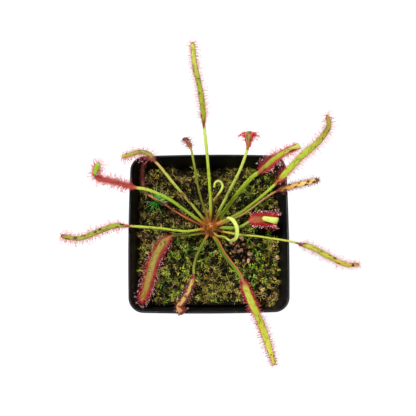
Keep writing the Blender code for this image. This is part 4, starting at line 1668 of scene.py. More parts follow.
@dataclass
class LeafLine:
    """Stations along a leaf, in millimetres: where it runs, how it lies and how wide it is."""

    spots: np.ndarray
    ahead: np.ndarray
    side: np.ndarray
    up: np.ndarray
    half: np.ndarray
    thick: np.ndarray
    stage: np.ndarray
    run: np.ndarray
    blade_start: int
    fringed: int

    @classmethod
    def of(cls, form: LeafForm) -> "LeafLine":
        """Follows a leaf's route from the crown to its tip.

        Args:
            form: The leaf.

        Returns:
            Its stations.
        """
        points, blade_start = cls.follow(form)
        frames = cls.carry(points, form.on_edge)
        cls.turn_tip(form, frames, blade_start)
        fringed = len(points) - 1 - form.bare_end * 3
        if form.curl[0]:
            cls.roll_up(form, points, frames)
            fringed = len(points) - 1 if form.fringed_curl else fringed
        for step in TIP_STEPS:
            points.append(points[-1] + frames[-1][0] * form.widths[2] * step * 0.45)
            frames.append(frames[-1])
        half, thick, stage = cls.widths_along(form, len(points), blade_start)
        inner = cls.rooted(points[0])
        spots = np.array(inner + [point[:] for point in points])
        count = len(inner)
        frames = [frames[0]] * count + frames
        ahead, side, up = (np.array([directions[k][:] for directions in frames]) for k in range(3))
        run = np.r_[0.0, np.cumsum(np.linalg.norm(np.diff(spots, axis=0), axis=1))]
        half, thick = np.r_[[half[0] * 0.8] * count, half], np.r_[[thick[0]] * count, thick]
        stage = np.r_[np.zeros(count), stage]
        return cls(spots, ahead, side, up, half, thick, stage, run, blade_start + count, fringed + count)

    @staticmethod
    def rooted(seat: Vector) -> list[Spot]:
        """Three spots of the stretch of a stalk that is hidden in the crown, up to its seat."""
        root = seat.lerp(Vector((CROWN_X, CROWN_Y, seat.z - 1.8)), 0.75)
        return [tuple(root.lerp(seat, share)) for share in (0.0, 0.35, 0.7)]

    @staticmethod
    def follow(form: LeafForm) -> tuple[list[Vector], int]:
        """Draws a smooth line through the seat and the route.

        Args:
            form: The leaf.

        Returns:
            Its points, and the number of the one where the blade starts.
        """
        turn = math.radians(form.azimuth)
        reach = float(crown_reach(form.seat)) + LEAF_SEAT
        seat = Vector((CROWN_X + math.cos(turn) * reach, CROWN_Y + math.sin(turn) * reach, form.seat))
        knots = [seat] + [Vector(spot) for spot in form.route]
        points = [seat]
        blade_start = 0
        for index in range(len(knots) - 1):
            before, here, after = knots[max(index - 1, 0)], knots[index], knots[index + 1]
            beyond = knots[min(index + 2, len(knots) - 1)]
            step = STALK_STEP if index < form.joint else BLADE_STEP
            count = max(1, round((after - here).length / step))
            for part in range(1, count + 1):
                s = part / count
                points.append(
                    0.5
                    * (
                        2 * here
                        + (after - before) * s
                        + (2 * before - 5 * here + 4 * after - beyond) * s**2
                        + (3 * here - before - 3 * after + beyond) * s**3
                    )
                )
            if index == form.joint - 1:
                blade_start = len(points) - 1
        return points, blade_start

    @staticmethod
    def carry(points: list[Vector], on_edge: bool) -> list[Directions]:
        """Carries a leaf's directions along its points without twist.

        Args:
            points: The points.
            on_edge: Whether the leaf stands on its edge.

        Returns:
            Ahead, side and up at each point.
        """
        frames = []
        side = None
        for index in range(len(points)):
            ahead = (points[min(index + 1, len(points) - 1)] - points[max(index - 1, 0)]).normalized()
            if side is None:
                level = ahead.cross(Vector((0, 0, 1))).normalized()
                side = level.cross(ahead).normalized() if on_edge else level
            side = (side - ahead * side.dot(ahead)).normalized()
            frames.append((ahead, side, side.cross(ahead).normalized()))
        return frames

    @staticmethod
    def turn_tip(form: LeafForm, frames: list[Directions], blade_start: int) -> None:
        """Turns the end of the blade about its own line within a few millimetres.

        Args:
            form: The leaf.
            frames: Its directions, which are turned in place.
            blade_start: The point where its blade starts.
        """
        start, angle = form.tip_turn
        first = blade_start + (start - 1) * (len(frames) - blade_start)
        for index, (ahead, side, up) in enumerate(frames):
            share = min(1.0, max(0.0, (index - first) / 3))
            turn = math.radians(angle) * share * share * (3 - 2 * share)
            turned = side * math.cos(turn) + up * math.sin(turn)
            frames[index] = (ahead, turned, up * math.cos(turn) - side * math.sin(turn))

    @staticmethod
    def roll_up(form: LeafForm, points: list[Vector], frames: list[Directions]) -> None:
        """Rolls the tip over towards the face that bears the tentacles.

        Args:
            form: The leaf.
            points: Its points, which are added to.
            frames: Its directions, which are added to.
        """
        radius, angle = form.curl[0], math.radians(form.curl[1])
        ahead, side, up = frames[-1]
        inward = up * form.facing.value
        count = max(9, math.ceil(radius * angle / CURL_STEP))
        start = points[-1]
        for step in range(1, count + 1):
            turn = angle * step / count
            swing = radius * (1 - 0.35 * step / count)
            rise = inward * (radius - math.cos(turn) * swing)
            points.append(start + ahead * math.sin(turn) * swing + rise)
            on = ahead * math.cos(turn) + inward * math.sin(turn)
            frames.append((on, side, side.cross(on).normalized()))

    @staticmethod
    def widths_along(form: LeafForm, count: int, blade_start: int) -> tuple[np.ndarray, ...]:
        """How wide and how thick a leaf is along its line.

        Args:
            form: The leaf.
            count: Number of its stations.
            blade_start: The station where its blade starts.

        Returns:
            Half width, thickness and stage of each station. The stage is 1 at the joint and 2 at the tip.
        """
        stalk, blade, tip = (wide / 2 for wide in form.widths)
        station = np.arange(count)
        along = np.clip((station - blade_start) / max(1, count - 1 - blade_start), 0, 1)
        half = stalk + (blade - stalk) * np.minimum(1, along * 9)
        half = half + (tip - blade) * np.clip((along - 0.5) / 0.5, 0, 1) ** 1.6
        ripple = np.array([noise.noise(Vector((n * 0.11, form.azimuth, 0.0))) for n in station])
        half = half * (1 + 0.12 * ripple)
        half[-3:] *= TIP_HALF
        thick = STALK_THICK - form.thinning * np.clip((station - blade_start) / 8, 0, 1)
        thick[-3:] *= TIP_THICK
        stage = np.where(station < blade_start, station / max(1, blade_start), 1 + along)
        half *= np.where(station < blade_start, 1 + 0.35 * np.exp(-station / 3.0), 1)
        return half, thick, stage

    def at(self, station: np.ndarray, values: np.ndarray) -> np.ndarray:
        """Values between the stations.

        Args:
            station: Places along the leaf, as station numbers.
            values: The values at the stations.

        Returns:
            The values at those places.
        """
        low = np.clip(station.astype(int), 0, len(self.spots) - 2)
        share = station - low
        share = share[:, None] if values.ndim == 2 else share
        return values[low] * (1 - share) + values[low + 1] * share


@dataclass
class TentacleShapes:
    """The shapes that every leaf's tentacles are copied from."""

    shaft: Shape
    gland: Shape
    drop: Shape

    @classmethod
    def model(cls) -> "TentacleShapes":
        """Models the shaft, the gland and the drop."""
        shaft = Bench.spindle(3, ((0.0, 1.1), (0.5, 0.8), (1.0, 0.5)))
        return cls(shaft, Bench.bead(1.35, False), Bench.bead(1.05, True))


@dataclass
class Leaf:
    """A leaf: its skin, its tentacles and the dew on them.

    Attributes:
        form: The leaf's form.
        line: Its stations.
        around: Points round its section.
        cup: How hollow its blade is.
    """

    form: LeafForm
    line: LeafLine
    around: int = 18
    cup: float = 0.16

    def section(self) -> tuple[np.ndarray, dict[str, np.ndarray]]:
        """Rings of points round the leaf, and what the mesh carries at each.

        Returns:
            The rings and the marks.
        """
        line, form, face = self.line, self.form, self.form.facing.value
        turn = np.arange(self.around) * math.tau / self.around
        across, rise = (np.sign(part) * np.abs(part) ** 0.7 for part in (np.cos(turn), np.sin(turn)))
        blade = np.clip((line.stage - 0.97) / 0.06, 0, 1)[:, None]
        half = line.half[:, None]
        rims = [[Vector((run / 4.5, hand * 3.0, form.azimuth)) for hand in (-1, 1)] for run in line.run]
        wave = np.array([[noise.noise(spot) for spot in pair] for pair in rims])
        lift = np.where(across[None, :] < 0, wave[:, :1], wave[:, 1:]) * across[None, :] ** 2 * blade
        hollow = self.cup * half * across[None, :] ** 2 * blade * face
        midrib = 0.07 * np.exp(-((across[None, :] / 0.22) ** 2)) * (rise[None, :] * face < 0) * -face
        out = line.thick[:, None] / 2 * rise[None, :] + hollow + midrib
        out = out + lift * 0.32 * (1 + 2.2 * form.withered)
        crumple = form.withered * self.crumple(across)
        rings = (
            line.spots[:, None]
            + line.side[:, None] * (half * across[None, :] * (1 - 0.35 * crumple))[..., None]
            + line.up[:, None] * (out + 0.5 * crumple * across[None, :])[..., None]
        )
        front = np.broadcast_to(0.5 + 0.5 * rise * face, rings.shape[:2])
        run = np.broadcast_to(line.run[:, None], front.shape)
        marks = {
            "stage": np.broadcast_to(line.stage[:, None], front.shape),
            "across": np.broadcast_to(across, front.shape),
            "front": front,
            "lie": np.stack([half * across[None, :], run, front], axis=-1) * MM,
            "stain": self.stains(across),
        }
        return rings, marks

    def stains(self, across: np.ndarray) -> np.ndarray:
        """How dark the skin is stained.

        Args:
            across: Places across the leaf, from -1 to 1.

        Returns:
            A number from 0 to 1, by station and by place.
        """
        line = self.line
        stain = np.zeros((len(line.run), len(across)))
        for stage, place, length, width in self.form.blots:
            middle = np.interp(stage, line.stage, line.run)
            away = ((line.run[:, None] - middle) / length) ** 2 + ((across[None, :] - place) / width) ** 2
            stain = np.maximum(stain, np.exp(-away))
        return stain

    def crumple(self, across: np.ndarray) -> np.ndarray:
        """How a withered blade has shrunk and puckered.

        Args:
            across: Places across the leaf, from -1 to 1.

        Returns:
            A number from -1 to 1, by station and by place.
        """
        blade = np.clip((self.line.stage - 1.0) / 0.1, 0, 1)
        waves = [[noise.noise(Vector((run / 1.7, a * 1.2, 7.0))) for a in across] for run in self.line.run]
        return np.array(waves) * blade[:, None]

    def build(self, finishes: dict[Hair, Finish], dew: Finish, shapes: TentacleShapes) -> None:
        """Builds the skin, the tentacles and the dew.

        Args:
            finishes: The materials of the tentacles.
            dew: The material of the dew.
            shapes: The modelled shapes that are copied.
        """
        form, slot = self.form, self.form.growth.value
        skin = Bench.loft(form.name, *self.section())
        Bench.hand_over(skin, form.skin.build(form.name), slot, (form.name,))
        spines = self.inside(self.tentacles())
        count = len(spines.roots)
        tint = RNG.random((count, 1))
        bundle = Bundle()
        rise = shapes.shaft.points[None, :, 2] * 0.85
        bundle.add(shapes.shaft, spines.shafts(shapes.shaft), rise=rise, tint=tint)
        size = 0.13 * form.stout**0.5 * RNG.uniform(0.8, 1.25, count)
        heads = spines.heads(shapes.gland, size, 0.6)
        bundle.add(shapes.gland, heads, rise=np.ones((1, 1)), tint=tint * 0.4)
        hair = Hair.OLD if form.growth is Growth.OLD else form.hair
        Bench.hand_over(bundle.piece(form.name + "_tentacles"), finishes[hair], slot)
        wet = (RNG.random(count) < form.dew) & (spines.lengths > 0.45 * self.reach())
        if wet.sum() > FEWEST_DROPS:
            drops = Bundle()
            size = size[wet] * RNG.uniform(0.95, 1.35, wet.sum())
            drops.add(shapes.drop, spines.kept(wet).heads(shapes.drop, size, 0.9))
            Bench.hand_over(drops.piece(form.name + "_dew"), dew, slot)

    def reach(self) -> float:
        """Length of the leaf's longer tentacles, in millimetres."""
        return 3.5 * (self.form.fringe or 0.3)

    def row(self, spacing: float) -> np.ndarray:
        """Uneven places along the fringed part of the blade.

        Args:
            spacing: Distance from one to the next in millimetres.

        Returns:
            The places as station numbers.
        """
        line = self.line
        start, end = line.run[line.blade_start] + 0.4, line.run[line.fringed]
        runs = []
        at = start + RNG.uniform(0, spacing)
        while at < end:
            runs.append(at)
            at += spacing * RNG.uniform(0.6, 1.4)
        return np.interp(runs, line.run, np.arange(len(line.run)))

    def tentacles(self) -> Spines:
        """Places the tentacles: the longest in a row at each edge, more rows inwards, and a fan at the tip.

        Returns:
            All the tentacles of the leaf.
        """
        form, reach, crowd = self.form, self.reach(), self.form.crowding
        rows = []
        for hand in (-1, 1):
            rows.append((hand * 0.98, hand * 1.0, 0.25, reach * 1.12, 0.74 * crowd))
            rows.append((hand * 0.93, hand * 0.95, 0.5, reach * 0.62, 0.58 * crowd))
            rows.append((hand * 0.8, hand * 0.7, 0.8, reach * 0.42, 0.7 * crowd))
            rows.append((hand * 0.45, hand * 0.4, 1.0, reach * 0.36, 1.2 * crowd))
        rows.append((0.08, 0.0, 1.0, reach * 0.34, 1.3 * crowd))
        parts = [self.spines_at(self.row(spacing), *place) for *place, spacing in rows]
        if not form.bare_end and (form.fringed_curl or not form.curl[0]):
            parts.append(self.tip_fan(reach))
        return Spines.join(parts if form.fringe else [parts[2], parts[6]])

    def spines_at(
        self, station: np.ndarray, across: float, outward: float, inward: float, reach: float
    ) -> Spines:
        """Tentacles along one row.

        Args:
            station: Their places along the leaf.
            across: Their place across it, from -1 to 1.
            outward: How far they point out to the side.
            inward: How far they point the way that the face looks.
            reach: Their length in millimetres.

        Returns:
            The tentacles.
        """
        line, form = self.line, self.form
        count = len(station)
        names = ("spots", "side", "up", "ahead", "half", "thick", "stage")
        spots, side, up, ahead, half, thick, stage = (line.at(station, getattr(line, name)) for name in names)
        front = up * form.facing.value
        across = across + RNG.normal(0, 0.25, count) * (1 - abs(across))
        lift = thick * 0.3 * (1 - np.minimum(1, abs(across))) + self.cup * half * across**2
        roots = spots + side * (half * across)[:, None] + front * lift[:, None]
        swept = 0.05 + form.fan * np.clip(4.0 * (stage - 1.32), -0.6, 1)
        lean = ahead * (swept + RNG.normal(0, form.splay, count))[:, None]
        ways = unit(side * outward + front * inward + lean + RNG.normal(0, 0.1, (count, 3)))
        bends = (front * 0.22 - side * 0.1 * outward) * RNG.uniform(0.2, 1.3, (count, 1))
        bends = bends + RNG.normal(0, 0.05, (count, 3))
        if form.withered:
            bends = bends + RNG.normal(0, 0.3 * form.withered, (count, 3))
        grown = np.clip((stage - 1.0) / 0.12, 0.35, 1)
        grown = grown * (form.foot + (1 - form.foot) * np.clip((stage - 1.0) / 0.45, 0, 1) ** 4)
        grown = grown * (1 - (1 - form.crest) * np.clip((stage - 1.3) / 0.4, 0, 1))
        lengths = reach * grown * RNG.uniform(0.45, 1.15, count)
        return Spines(roots, ways, bends, lengths, form.stout * RNG.uniform(*TENTACLE_RADII, count))

    def tip_fan(self, reach: float) -> Spines:
        """Tentacles that spread from the leaf's tip.

        Args:
            reach: Their length in millimetres.

        Returns:
            The tentacles.
        """
        line, face = self.line, self.form.facing.value
        count = round(13 / math.sqrt(self.form.crowding))
        turn = np.linspace(-1.4, 1.4, count) + RNG.normal(0, 0.08, count)
        ways = unit(
            line.ahead[-1] * np.cos(turn)[:, None]
            + line.side[-1] * np.sin(turn)[:, None]
            + line.up[-1] * face * RNG.uniform(0.0, 0.9, (count, 1))
        )
        roots = line.spots[-2] + line.side[-1] * (np.sin(turn) * line.half[-4] * 0.6)[:, None]
        bends = np.tile(line.up[-1] * face * 0.15, (count, 1))
        widths = self.form.stout * RNG.uniform(*TENTACLE_RADII, count)
        return Spines(roots, ways, bends, reach * RNG.uniform(0.55, 1.1, count), widths)

    def inside(self, spines: Spines) -> Spines:
        """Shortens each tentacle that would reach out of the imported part's box.

        Args:
            spines: The tentacles.

        Returns:
            The same tentacles.
        """
        low, high = (np.array(corner) / MM for corner in PACKED_BOX)
        for _ in range(BOX_TRIES):
            tips = spines.tips()
            out = ((tips < low + BOX_MARGIN) | (tips > high - BOX_MARGIN)).any(axis=1)
            spines.lengths[out] *= 0.8
        return spines


@dataclass
class Studio:
    """White paper floor, soft light, and the camera almost straight above the pot.

    Attributes:
        distance: From the camera to what it is aimed at, in millimetres.
        tilt: How far the camera leans to the front, in degrees.
        roll: How far it is turned about its own line, in degrees.
        aim: What it is aimed at, in millimetres.
        lens: Its focal length in millimetres.
        air: Strength of the light from all round.
        lit: The spot in metres that the lamps are aimed at.
        lamps: For each lamp its name, its place and its size in metres, and its power.
    """

    distance: float = 430.0
    tilt: float = 10.5
    roll: float = -0.32
    aim: Spot = (-0.30, 14.2, 80.0)
    lens: float = 64.95
    air: float = 0.13
    lit: Spot = (0.0, 0.0, 0.07)
    lamps: tuple[tuple[str, Spot, float, float], ...] = (
        ("soft_box", (-0.24, 0.20, 0.76), 0.16, 6.4),
        ("glint_lamp", (0.28, 0.30, 0.70), 0.06, 1.0),
        ("fill_box", (0.5, -0.5, 0.7), 0.6, 0.5),
    )

    def build(self) -> None:
        """Sets up the floor, the lights, the camera and the picture's tones."""
        self.lay_floor()
        self.hang_lights()
        self.set_camera()
        view = bpy.context.scene.view_settings
        view.view_transform = "Standard"
        view.look = "None"
        view.exposure = 0.0
        view.gamma = 1.0

    def lay_floor(self) -> None:
        """Lays the paper just below the pot."""
        Bench.clear_selection()
        bpy.ops.mesh.primitive_plane_add(size=6.0, location=(0, 0, -0.0004))
        floor = bpy.context.object
        floor.name = "paper_floor"
        bpy.ops.object.transform_apply(location=True)
        floor.data.materials.append(PaperFloor().build())

    def hang_lights(self) -> None:
        """Hangs a soft light over the pot, a small one for the glints, and a faint wide one in front."""
        for name, spot, size, power in self.lamps:
            Bench.clear_selection()
            bpy.ops.object.light_add(type="AREA", location=spot)
            lamp = bpy.context.object
            lamp.name = name
            lamp.data.size = size
            lamp.data.energy = power
            aim = Vector(self.lit) - Vector(spot)
            lamp.rotation_euler = aim.to_track_quat("-Z", "Y").to_euler()
        world = bpy.data.worlds.new("studio_air")
        bpy.context.scene.world = world
        world.use_nodes = True
        sky = world.node_tree.nodes["Background"]
        sky.inputs["Color"].default_value = (1.0, 1.0, 1.0, 1.0)
        sky.inputs["Strength"].default_value = self.air

    def set_camera(self) -> None:
        """Sets the camera to the photograph's angle and frame."""
        tilt, roll = math.radians(self.tilt), math.radians(self.roll)
        forward = Vector((0, math.sin(tilt), -math.cos(tilt)))
        across, above = Vector((1, 0, 0)), Vector((0, math.cos(tilt), math.sin(tilt)))
        right = across * math.cos(roll) + above * math.sin(roll)
        up = above * math.cos(roll) - across * math.sin(roll)
        spot = (Vector(self.aim) - forward * self.distance) * MM
        Bench.clear_selection()
        bpy.ops.object.camera_add(location=spot)
        camera = bpy.context.object
        camera.name = "photo_camera"
        camera.data.lens = self.lens
        camera.data.sensor_width = 36.0
        camera.data.clip_start = 0.01
        camera.matrix_world = Matrix.Translation(spot) @ Matrix((right, up, -forward)).transposed().to_4x4()
        bpy.context.scene.camera = camera


LEAVES = (
    LeafForm(
        "leaf_back_tall", Growth.GREEN, 92, 71,
        (
            (1, 20.5, 82), (0, 34.5, 94), (-1.3, 46.5, 103), (-2.3, 55.4, 108.7), (-2.9, 64, 113.5),
            (-4.6, 74.5, 117), (-7, 85, 119.5), (-8.2, 97, 120),
        ),
        4, (1.7, 2.8, 2.3),
        LeafSkin(
            stalk=srgb(188, 210, 66), far_stalk=srgb(208, 224, 108), blade=srgb(150, 160, 38),
            far_blade=srgb(172, 176, 60), tip=srgb(132, 60, 44), specks=0.6, blush=0.2, joint_end=0.015,
        ),
        fringe=0.78, dew=0.15,
        blots=(
            (1.0, -1, 1.2, 0.7), (1.04, 0.9, 1.0, 0.6), (1.1, -0.8, 0.8, 0.5), (1.36, -0.7, 0.8, 0.4),
            (1.53, 0.3, 0.6, 0.5), (1.62, -0.9, 0.9, 0.45), (1.95, 0.9, 0.7, 0.5),
        ),
    ),
    LeafForm(
        "leaf_back_left_short", Growth.OLD, 112, 73.5,
        ((-5, 21.5, 86), (-8, 36.5, 97), (-9.5, 43.5, 101), (-11.5, 48, 102), (-13.5, 50, 99.5)),
        3, (1.2, 2.4, 1.8),
        LeafSkin(
            stalk=srgb(132, 132, 50), far_stalk=srgb(164, 176, 74), joint=srgb(176, 140, 52),
            blade=srgb(150, 74, 52), far_blade=srgb(108, 42, 38), tip=srgb(84, 30, 36),
            front=srgb(120, 40, 44), specks=0.9, stain=srgb(52, 20, 26),
        ),
        fringe=0.65, withered=0.7, dew=0.1, crowding=1.1,
        blots=(
            (1.3, -0.7, 1.2, 0.5), (1.5, 0.3, 1.3, 0.6), (1.7, -0.6, 1.2, 0.6), (1.85, 0.4, 1.3, 0.7),
            (1.98, -0.3, 1.2, 0.8),
        ),
    ),
    LeafForm(
        "leaf_back_right_hooked", Growth.RED, 62, 73.5,
        ((11, 21, 88), (17.5, 31.5, 102), (21.3, 41.4, 112), (21.4, 46.6, 115)),
        3, (1.6, 2.8, 2.4),
        LeafSkin(
            stalk=srgb(194, 208, 92), far_stalk=srgb(212, 226, 108), joint=srgb(170, 96, 52),
            blade=srgb(146, 128, 60), far_blade=srgb(134, 124, 66), tip=srgb(126, 60, 60),
            front=srgb(206, 62, 72), blush=0.2, specks=0.8,
        ),
        fringe=1.2, curl=(2.6, 200), fringed_curl=True, crowding=0.24, dew=0.24, stout=2.3, splay=0.4,
        foot=0.2, hair=Hair.DEEP,
        blots=((1.12, 0.9, 1.2, 0.4), (1.4, 0.8, 0.8, 0.4), (1.6, -0.9, 0.9, 0.4)),
    ),
    LeafForm(
        "leaf_right_upper", Growth.GREEN, 47, 71,
        (
            (17, 22.5, 82), (25, 30.5, 88), (29, 33, 90), (36, 39, 92), (42.5, 43.3, 92.5),
            (50.6, 46.9, 92.8),
        ),
        3, (2.4, 3.1, 3.9),
        LeafSkin(
            base=srgb(146, 100, 46), stalk=srgb(158, 182, 40), far_stalk=srgb(182, 204, 56),
            joint=srgb(176, 96, 50), blade=srgb(172, 166, 38), far_blade=srgb(206, 216, 110),
            tip=srgb(224, 236, 150), front=srgb(166, 30, 44), stain=srgb(128, 26, 34), blush=0.3,
            margin=srgb(152, 40, 44),
        ),
        curl=(1.7, 125), crowding=0.6, hair=Hair.DEEP, dew=0.8, fringe=1.25, stout=1.75, splay=0.45,
        crest=0.25,
        blots=((1.6, 0.8, 3.2, 0.8), (1.08, 0.9, 1.8, 0.5)),
    ),
    LeafForm(
        "leaf_right_long", Growth.GREEN, 24, 73.5,
        (
            (18.5, 11.5, 81), (29.5, 19, 87), (38, 26, 91), (43, 31, 95), (51.5, 39, 102),
            (60, 45.5, 108), (65, 52.5, 112), (64.5, 58, 113),
        ),
        3, (1.7, 3.5, 2.1),
        LeafSkin(
            stalk=srgb(130, 148, 32), far_stalk=srgb(164, 190, 52), joint=srgb(176, 92, 50),
            blade=srgb(174, 188, 54), far_blade=srgb(150, 138, 44), tip=srgb(184, 66, 56), specks=0.5,
            joint_end=0.03,
        ),
        fringe=0.95, dew=0.2,
        blots=(
            (1.02, 0.8, 1.0, 0.5), (1.05, -0.9, 1.1, 0.5), (1.46, 0.1, 0.45, 0.8), (1.7, 0.5, 0.5, 0.4),
        ),
    ),
    LeafForm(
        "leaf_right_withered", Growth.OLD, 22, 68,
        (
            (20.5, 12, 73), (32.5, 20, 78), (39.5, 23.5, 82), (48.5, 25.7, 86), (55, 27.0, 87),
            (62, 28.7, 86.6),
        ),
        3, (1.2, 2.9, 2.4),
        LeafSkin(
            stalk=srgb(160, 140, 70), far_stalk=srgb(196, 140, 90), joint=srgb(166, 84, 62),
            blade=srgb(238, 182, 96), far_blade=srgb(255, 220, 132), tip=srgb(84, 40, 34),
            front=srgb(176, 96, 70), speck=srgb(128, 34, 38), stain=srgb(84, 26, 34), specks=0.9,
            blush=0.25, margin=srgb(188, 62, 52),
        ),
        fringe=0.55, withered=0.6, dew=0.1, crowding=0.8,
        blots=(
            (1.18, 0.6, 1.3, 0.5), (1.3, -0.8, 1.2, 0.4), (1.42, 0.7, 1.1, 0.5), (1.5, -0.5, 1.0, 0.4),
            (1.64, 0.8, 1.4, 0.6),
            (1.7, -0.3, 1.1, 0.8), (1.81, 0.5, 1.2, 0.9), (1.86, -0.9, 1.0, 0.7), (1.955, 0.0, 2.2, 1.8),
        ),
    ),
    LeafForm(
        "leaf_right_folded", Growth.RED, 0, 71,
        (
            (17, 3.5, 75.5), (23.5, 6.5, 78), (28.5, 7.5, 78.5), (37, 6.8, 78.5), (39.4, 6.2, 80.2),
            (38, 6.2, 82), (31, 7.5, 83.2),
        ),
        2, (1.8, 4.5, 1.5),
        LeafSkin(
            stalk=srgb(118, 146, 42), far_stalk=srgb(140, 160, 50), joint=srgb(150, 96, 54),
            blade=srgb(214, 232, 110), far_blade=srgb(226, 240, 120), tip=srgb(214, 232, 112),
            front=srgb(152, 36, 38), blush=0.05, specks=0.1, mottle=0.2, margin=srgb(188, 200, 90),
        ),
        facing=Facing.UP, bare_end=5, crowding=0.2, dew=0.45, fringe=1.4, stout=1.3, splay=0.35, fan=1.5,
        foot=0.55, hair=Hair.DEEP,
    ),
    LeafForm(
        "leaf_right_thin", Growth.GREEN, -20, 68.5,
        (
            (17, -0.5, 75), (28.5, -2.5, 80), (45, -6, 85.5), (50, -7.5, 87), (58, -10.5, 89.5),
            (66, -15.5, 91.5), (75, -20, 92.5), (82, -20, 91.5),
        ),
        4, (1.2, 2.8, 1.4),
        LeafSkin(
            stalk=srgb(176, 188, 60), far_stalk=srgb(192, 190, 72), joint=srgb(140, 84, 48),
            blade=srgb(178, 178, 44), far_blade=srgb(192, 170, 66), tip=srgb(214, 34, 46), specks=0.5,
            joint_end=0.04, stain=srgb(92, 20, 30), tip_run=0.05,
        ),
        fringe=0.8, dew=0.2,
        blots=(
            (1.04, 0.5, 1.4, 0.8), (1.1, -0.8, 1.0, 0.5), (1.36, -0.3, 0.9, 0.6), (1.49, -0.8, 0.9, 0.6),
            (1.57, -0.6, 1.4, 0.6),
            (1.65, 0.7, 0.9, 0.5), (1.84, 0.0, 0.9, 1.6),
        ),
    ),
    LeafForm(
        "leaf_front_right", Growth.GREEN, 292, 69.5,
        (
            (8.5, -11.5, 77), (15.5, -22, 84), (18.5, -27.5, 87), (22, -37.5, 90), (26.5, -48, 90.5),
            (30, -57, 89.5), (33.5, -67.5, 86.5), (35.5, -73.5, 83.5),
        ),
        3, (2.4, 3.7, 1.2),
        LeafSkin(
            stalk=srgb(86, 114, 24), far_stalk=srgb(102, 136, 34), joint=srgb(160, 80, 54),
            blade=srgb(180, 182, 50), far_blade=srgb(230, 230, 88), tip=srgb(206, 84, 60),
            stalk_blush=0.8, joint_end=0.03,
        ),
        crowding=0.72, dew=0.12, stout=1.4, fringe=0.66,
        blots=((1.83, 0.1, 0.9, 0.5), (1.02, -0.9, 1.4, 0.4), (1.04, 0.9, 1.4, 0.4)),
    ),
    LeafForm(
        "leaf_front_spotted", Growth.OLD, 243, 69,
        (
            (-6, -10.5, 74.5), (-8.5, -19, 79), (-8.5, -24.5, 81.5), (-10.5, -31.5, 85),
            (-13.5, -37.5, 88), (-16.6, -41.8, 89), (-16.4, -44.0, 88.6), (-15.2, -45.4, 88),
        ),
        3, (1.5, 2.5, 4.2),
        LeafSkin(
            stalk=srgb(112, 118, 36), far_stalk=srgb(140, 150, 52), joint=srgb(130, 60, 48),
            blade=srgb(192, 164, 92), far_blade=srgb(222, 150, 80), tip=srgb(176, 92, 44),
            front=srgb(196, 104, 66), speck=srgb(120, 36, 44), stain=srgb(126, 34, 46), specks=0.95,
            blush=0.25,
        ),
        fringe=0.6, curl=(2.1, 130), fringed_curl=True, withered=0.35, dew=0.12, crowding=0.9, stout=1.3,
        blots=(
            (1.05, 0.7, 1.5, 0.9), (1.2, -0.9, 1.6, 0.7), (1.3, 0.8, 1.3, 0.8), (1.38, -0.2, 0.9, 1.2),
            (1.48, 1.0, 1.4, 0.7),
            (1.56, -0.4, 1.0, 1.1), (1.7, 0.0, 1.5, 1.8), (1.9, 0.0, 1.0, 0.6),
        ),
    ),
    LeafForm(
        "leaf_left_low", Growth.GREEN, 206, 66.5,
        (
            (-9.5, 0.5, 70.5), (-17.5, 0, 72), (-22, -0.8, 72), (-27.5, -6, 71), (-31.5, -13.5, 70.5),
            (-34, -22, 71), (-36, -31, 73), (-38, -37.5, 76),
        ),
        3, (1.8, 4.1, 2.2),
        LeafSkin(
            stalk=srgb(150, 150, 54), far_stalk=srgb(160, 140, 60), joint=srgb(170, 90, 58),
            blade=srgb(144, 122, 36), far_blade=srgb(146, 112, 38), tip=srgb(184, 60, 56), blush=0.1,
            mottle=0.5, margin=srgb(176, 56, 50),
        ),
        fringe=1.05, crowding=0.5, dew=0.6, stout=1.25, splay=0.3, hair=Hair.DEEP,
        blots=((1.12, -0.3, 0.9, 0.4), (1.17, 0.3, 0.8, 0.35), (1.56, 0.1, 0.5, 0.9)),
    ),
    LeafForm(
        "leaf_left_long", Growth.GREEN, 186, 69.5,
        (
            (-13.5, 1.5, 75.5), (-28.5, 2.5, 81), (-45, 3, 86), (-52.5, 3, 88), (-61.5, -0.6, 90),
            (-70.5, -4.4, 91.5), (-77, -4.2, 91), (-81.5, -3, 89.5),
        ),
        3, (1.4, 2.8, 2.0),
        LeafSkin(
            stalk=srgb(172, 192, 60), far_stalk=srgb(178, 188, 66), joint=srgb(176, 70, 56),
            blade=srgb(150, 154, 46), far_blade=srgb(146, 142, 42), tip=srgb(206, 40, 58), specks=0.7,
            joint_end=0.012, tip_run=0.04,
        ),
        fringe=0.9, dew=0.2, stout=1.45,
        blots=(
            (1.08, 0.6, 1.6, 0.9), (1.16, -0.8, 0.9, 0.5), (1.4, 0.5, 1.2, 0.6), (1.47, 0.2, 1.4, 0.6),
            (1.62, 0.8, 1.0, 0.5),
            (1.74, 0.2, 1.6, 0.8), (1.84, -0.9, 1.0, 0.6), (1.93, 0.8, 0.9, 0.8),
        ),
    ),
    LeafForm(
        "leaf_left_upper_red", Growth.RED, 152, 69,
        (
            (-13, 13, 77.5), (-23, 19, 84.5), (-34, 23, 89.5), (-41.5, 24, 91.5), (-49.5, 26, 93),
            (-56.5, 27.7, 93.5), (-60.8, 28.6, 94.2), (-63.1, 30.4, 95.4), (-62.5, 33.0, 96.8),
            (-61.2, 35.2, 98),
        ),
        4, (1.8, 1.7, 3.7),
        LeafSkin(
            stalk=srgb(166, 190, 54), far_stalk=srgb(186, 200, 74), joint=srgb(190, 104, 78),
            blade=srgb(140, 186, 44), far_blade=srgb(142, 184, 42), tip=srgb(150, 180, 60),
            front=srgb(180, 88, 66), mottle=0.6,
        ),
        facing=Facing.UP, crowding=0.43, tip_turn=(1.72, 217), dew=0.06, stout=1.4, splay=0.5, fringe=1.0,
    ),
    LeafForm(
        "leaf_back_left_arching", Growth.GREEN, 134, 71.5,
        (
            (-10.5, 16.5, 85), (-19, 25, 95), (-26.5, 33.5, 101), (-29.5, 36.5, 102.5),
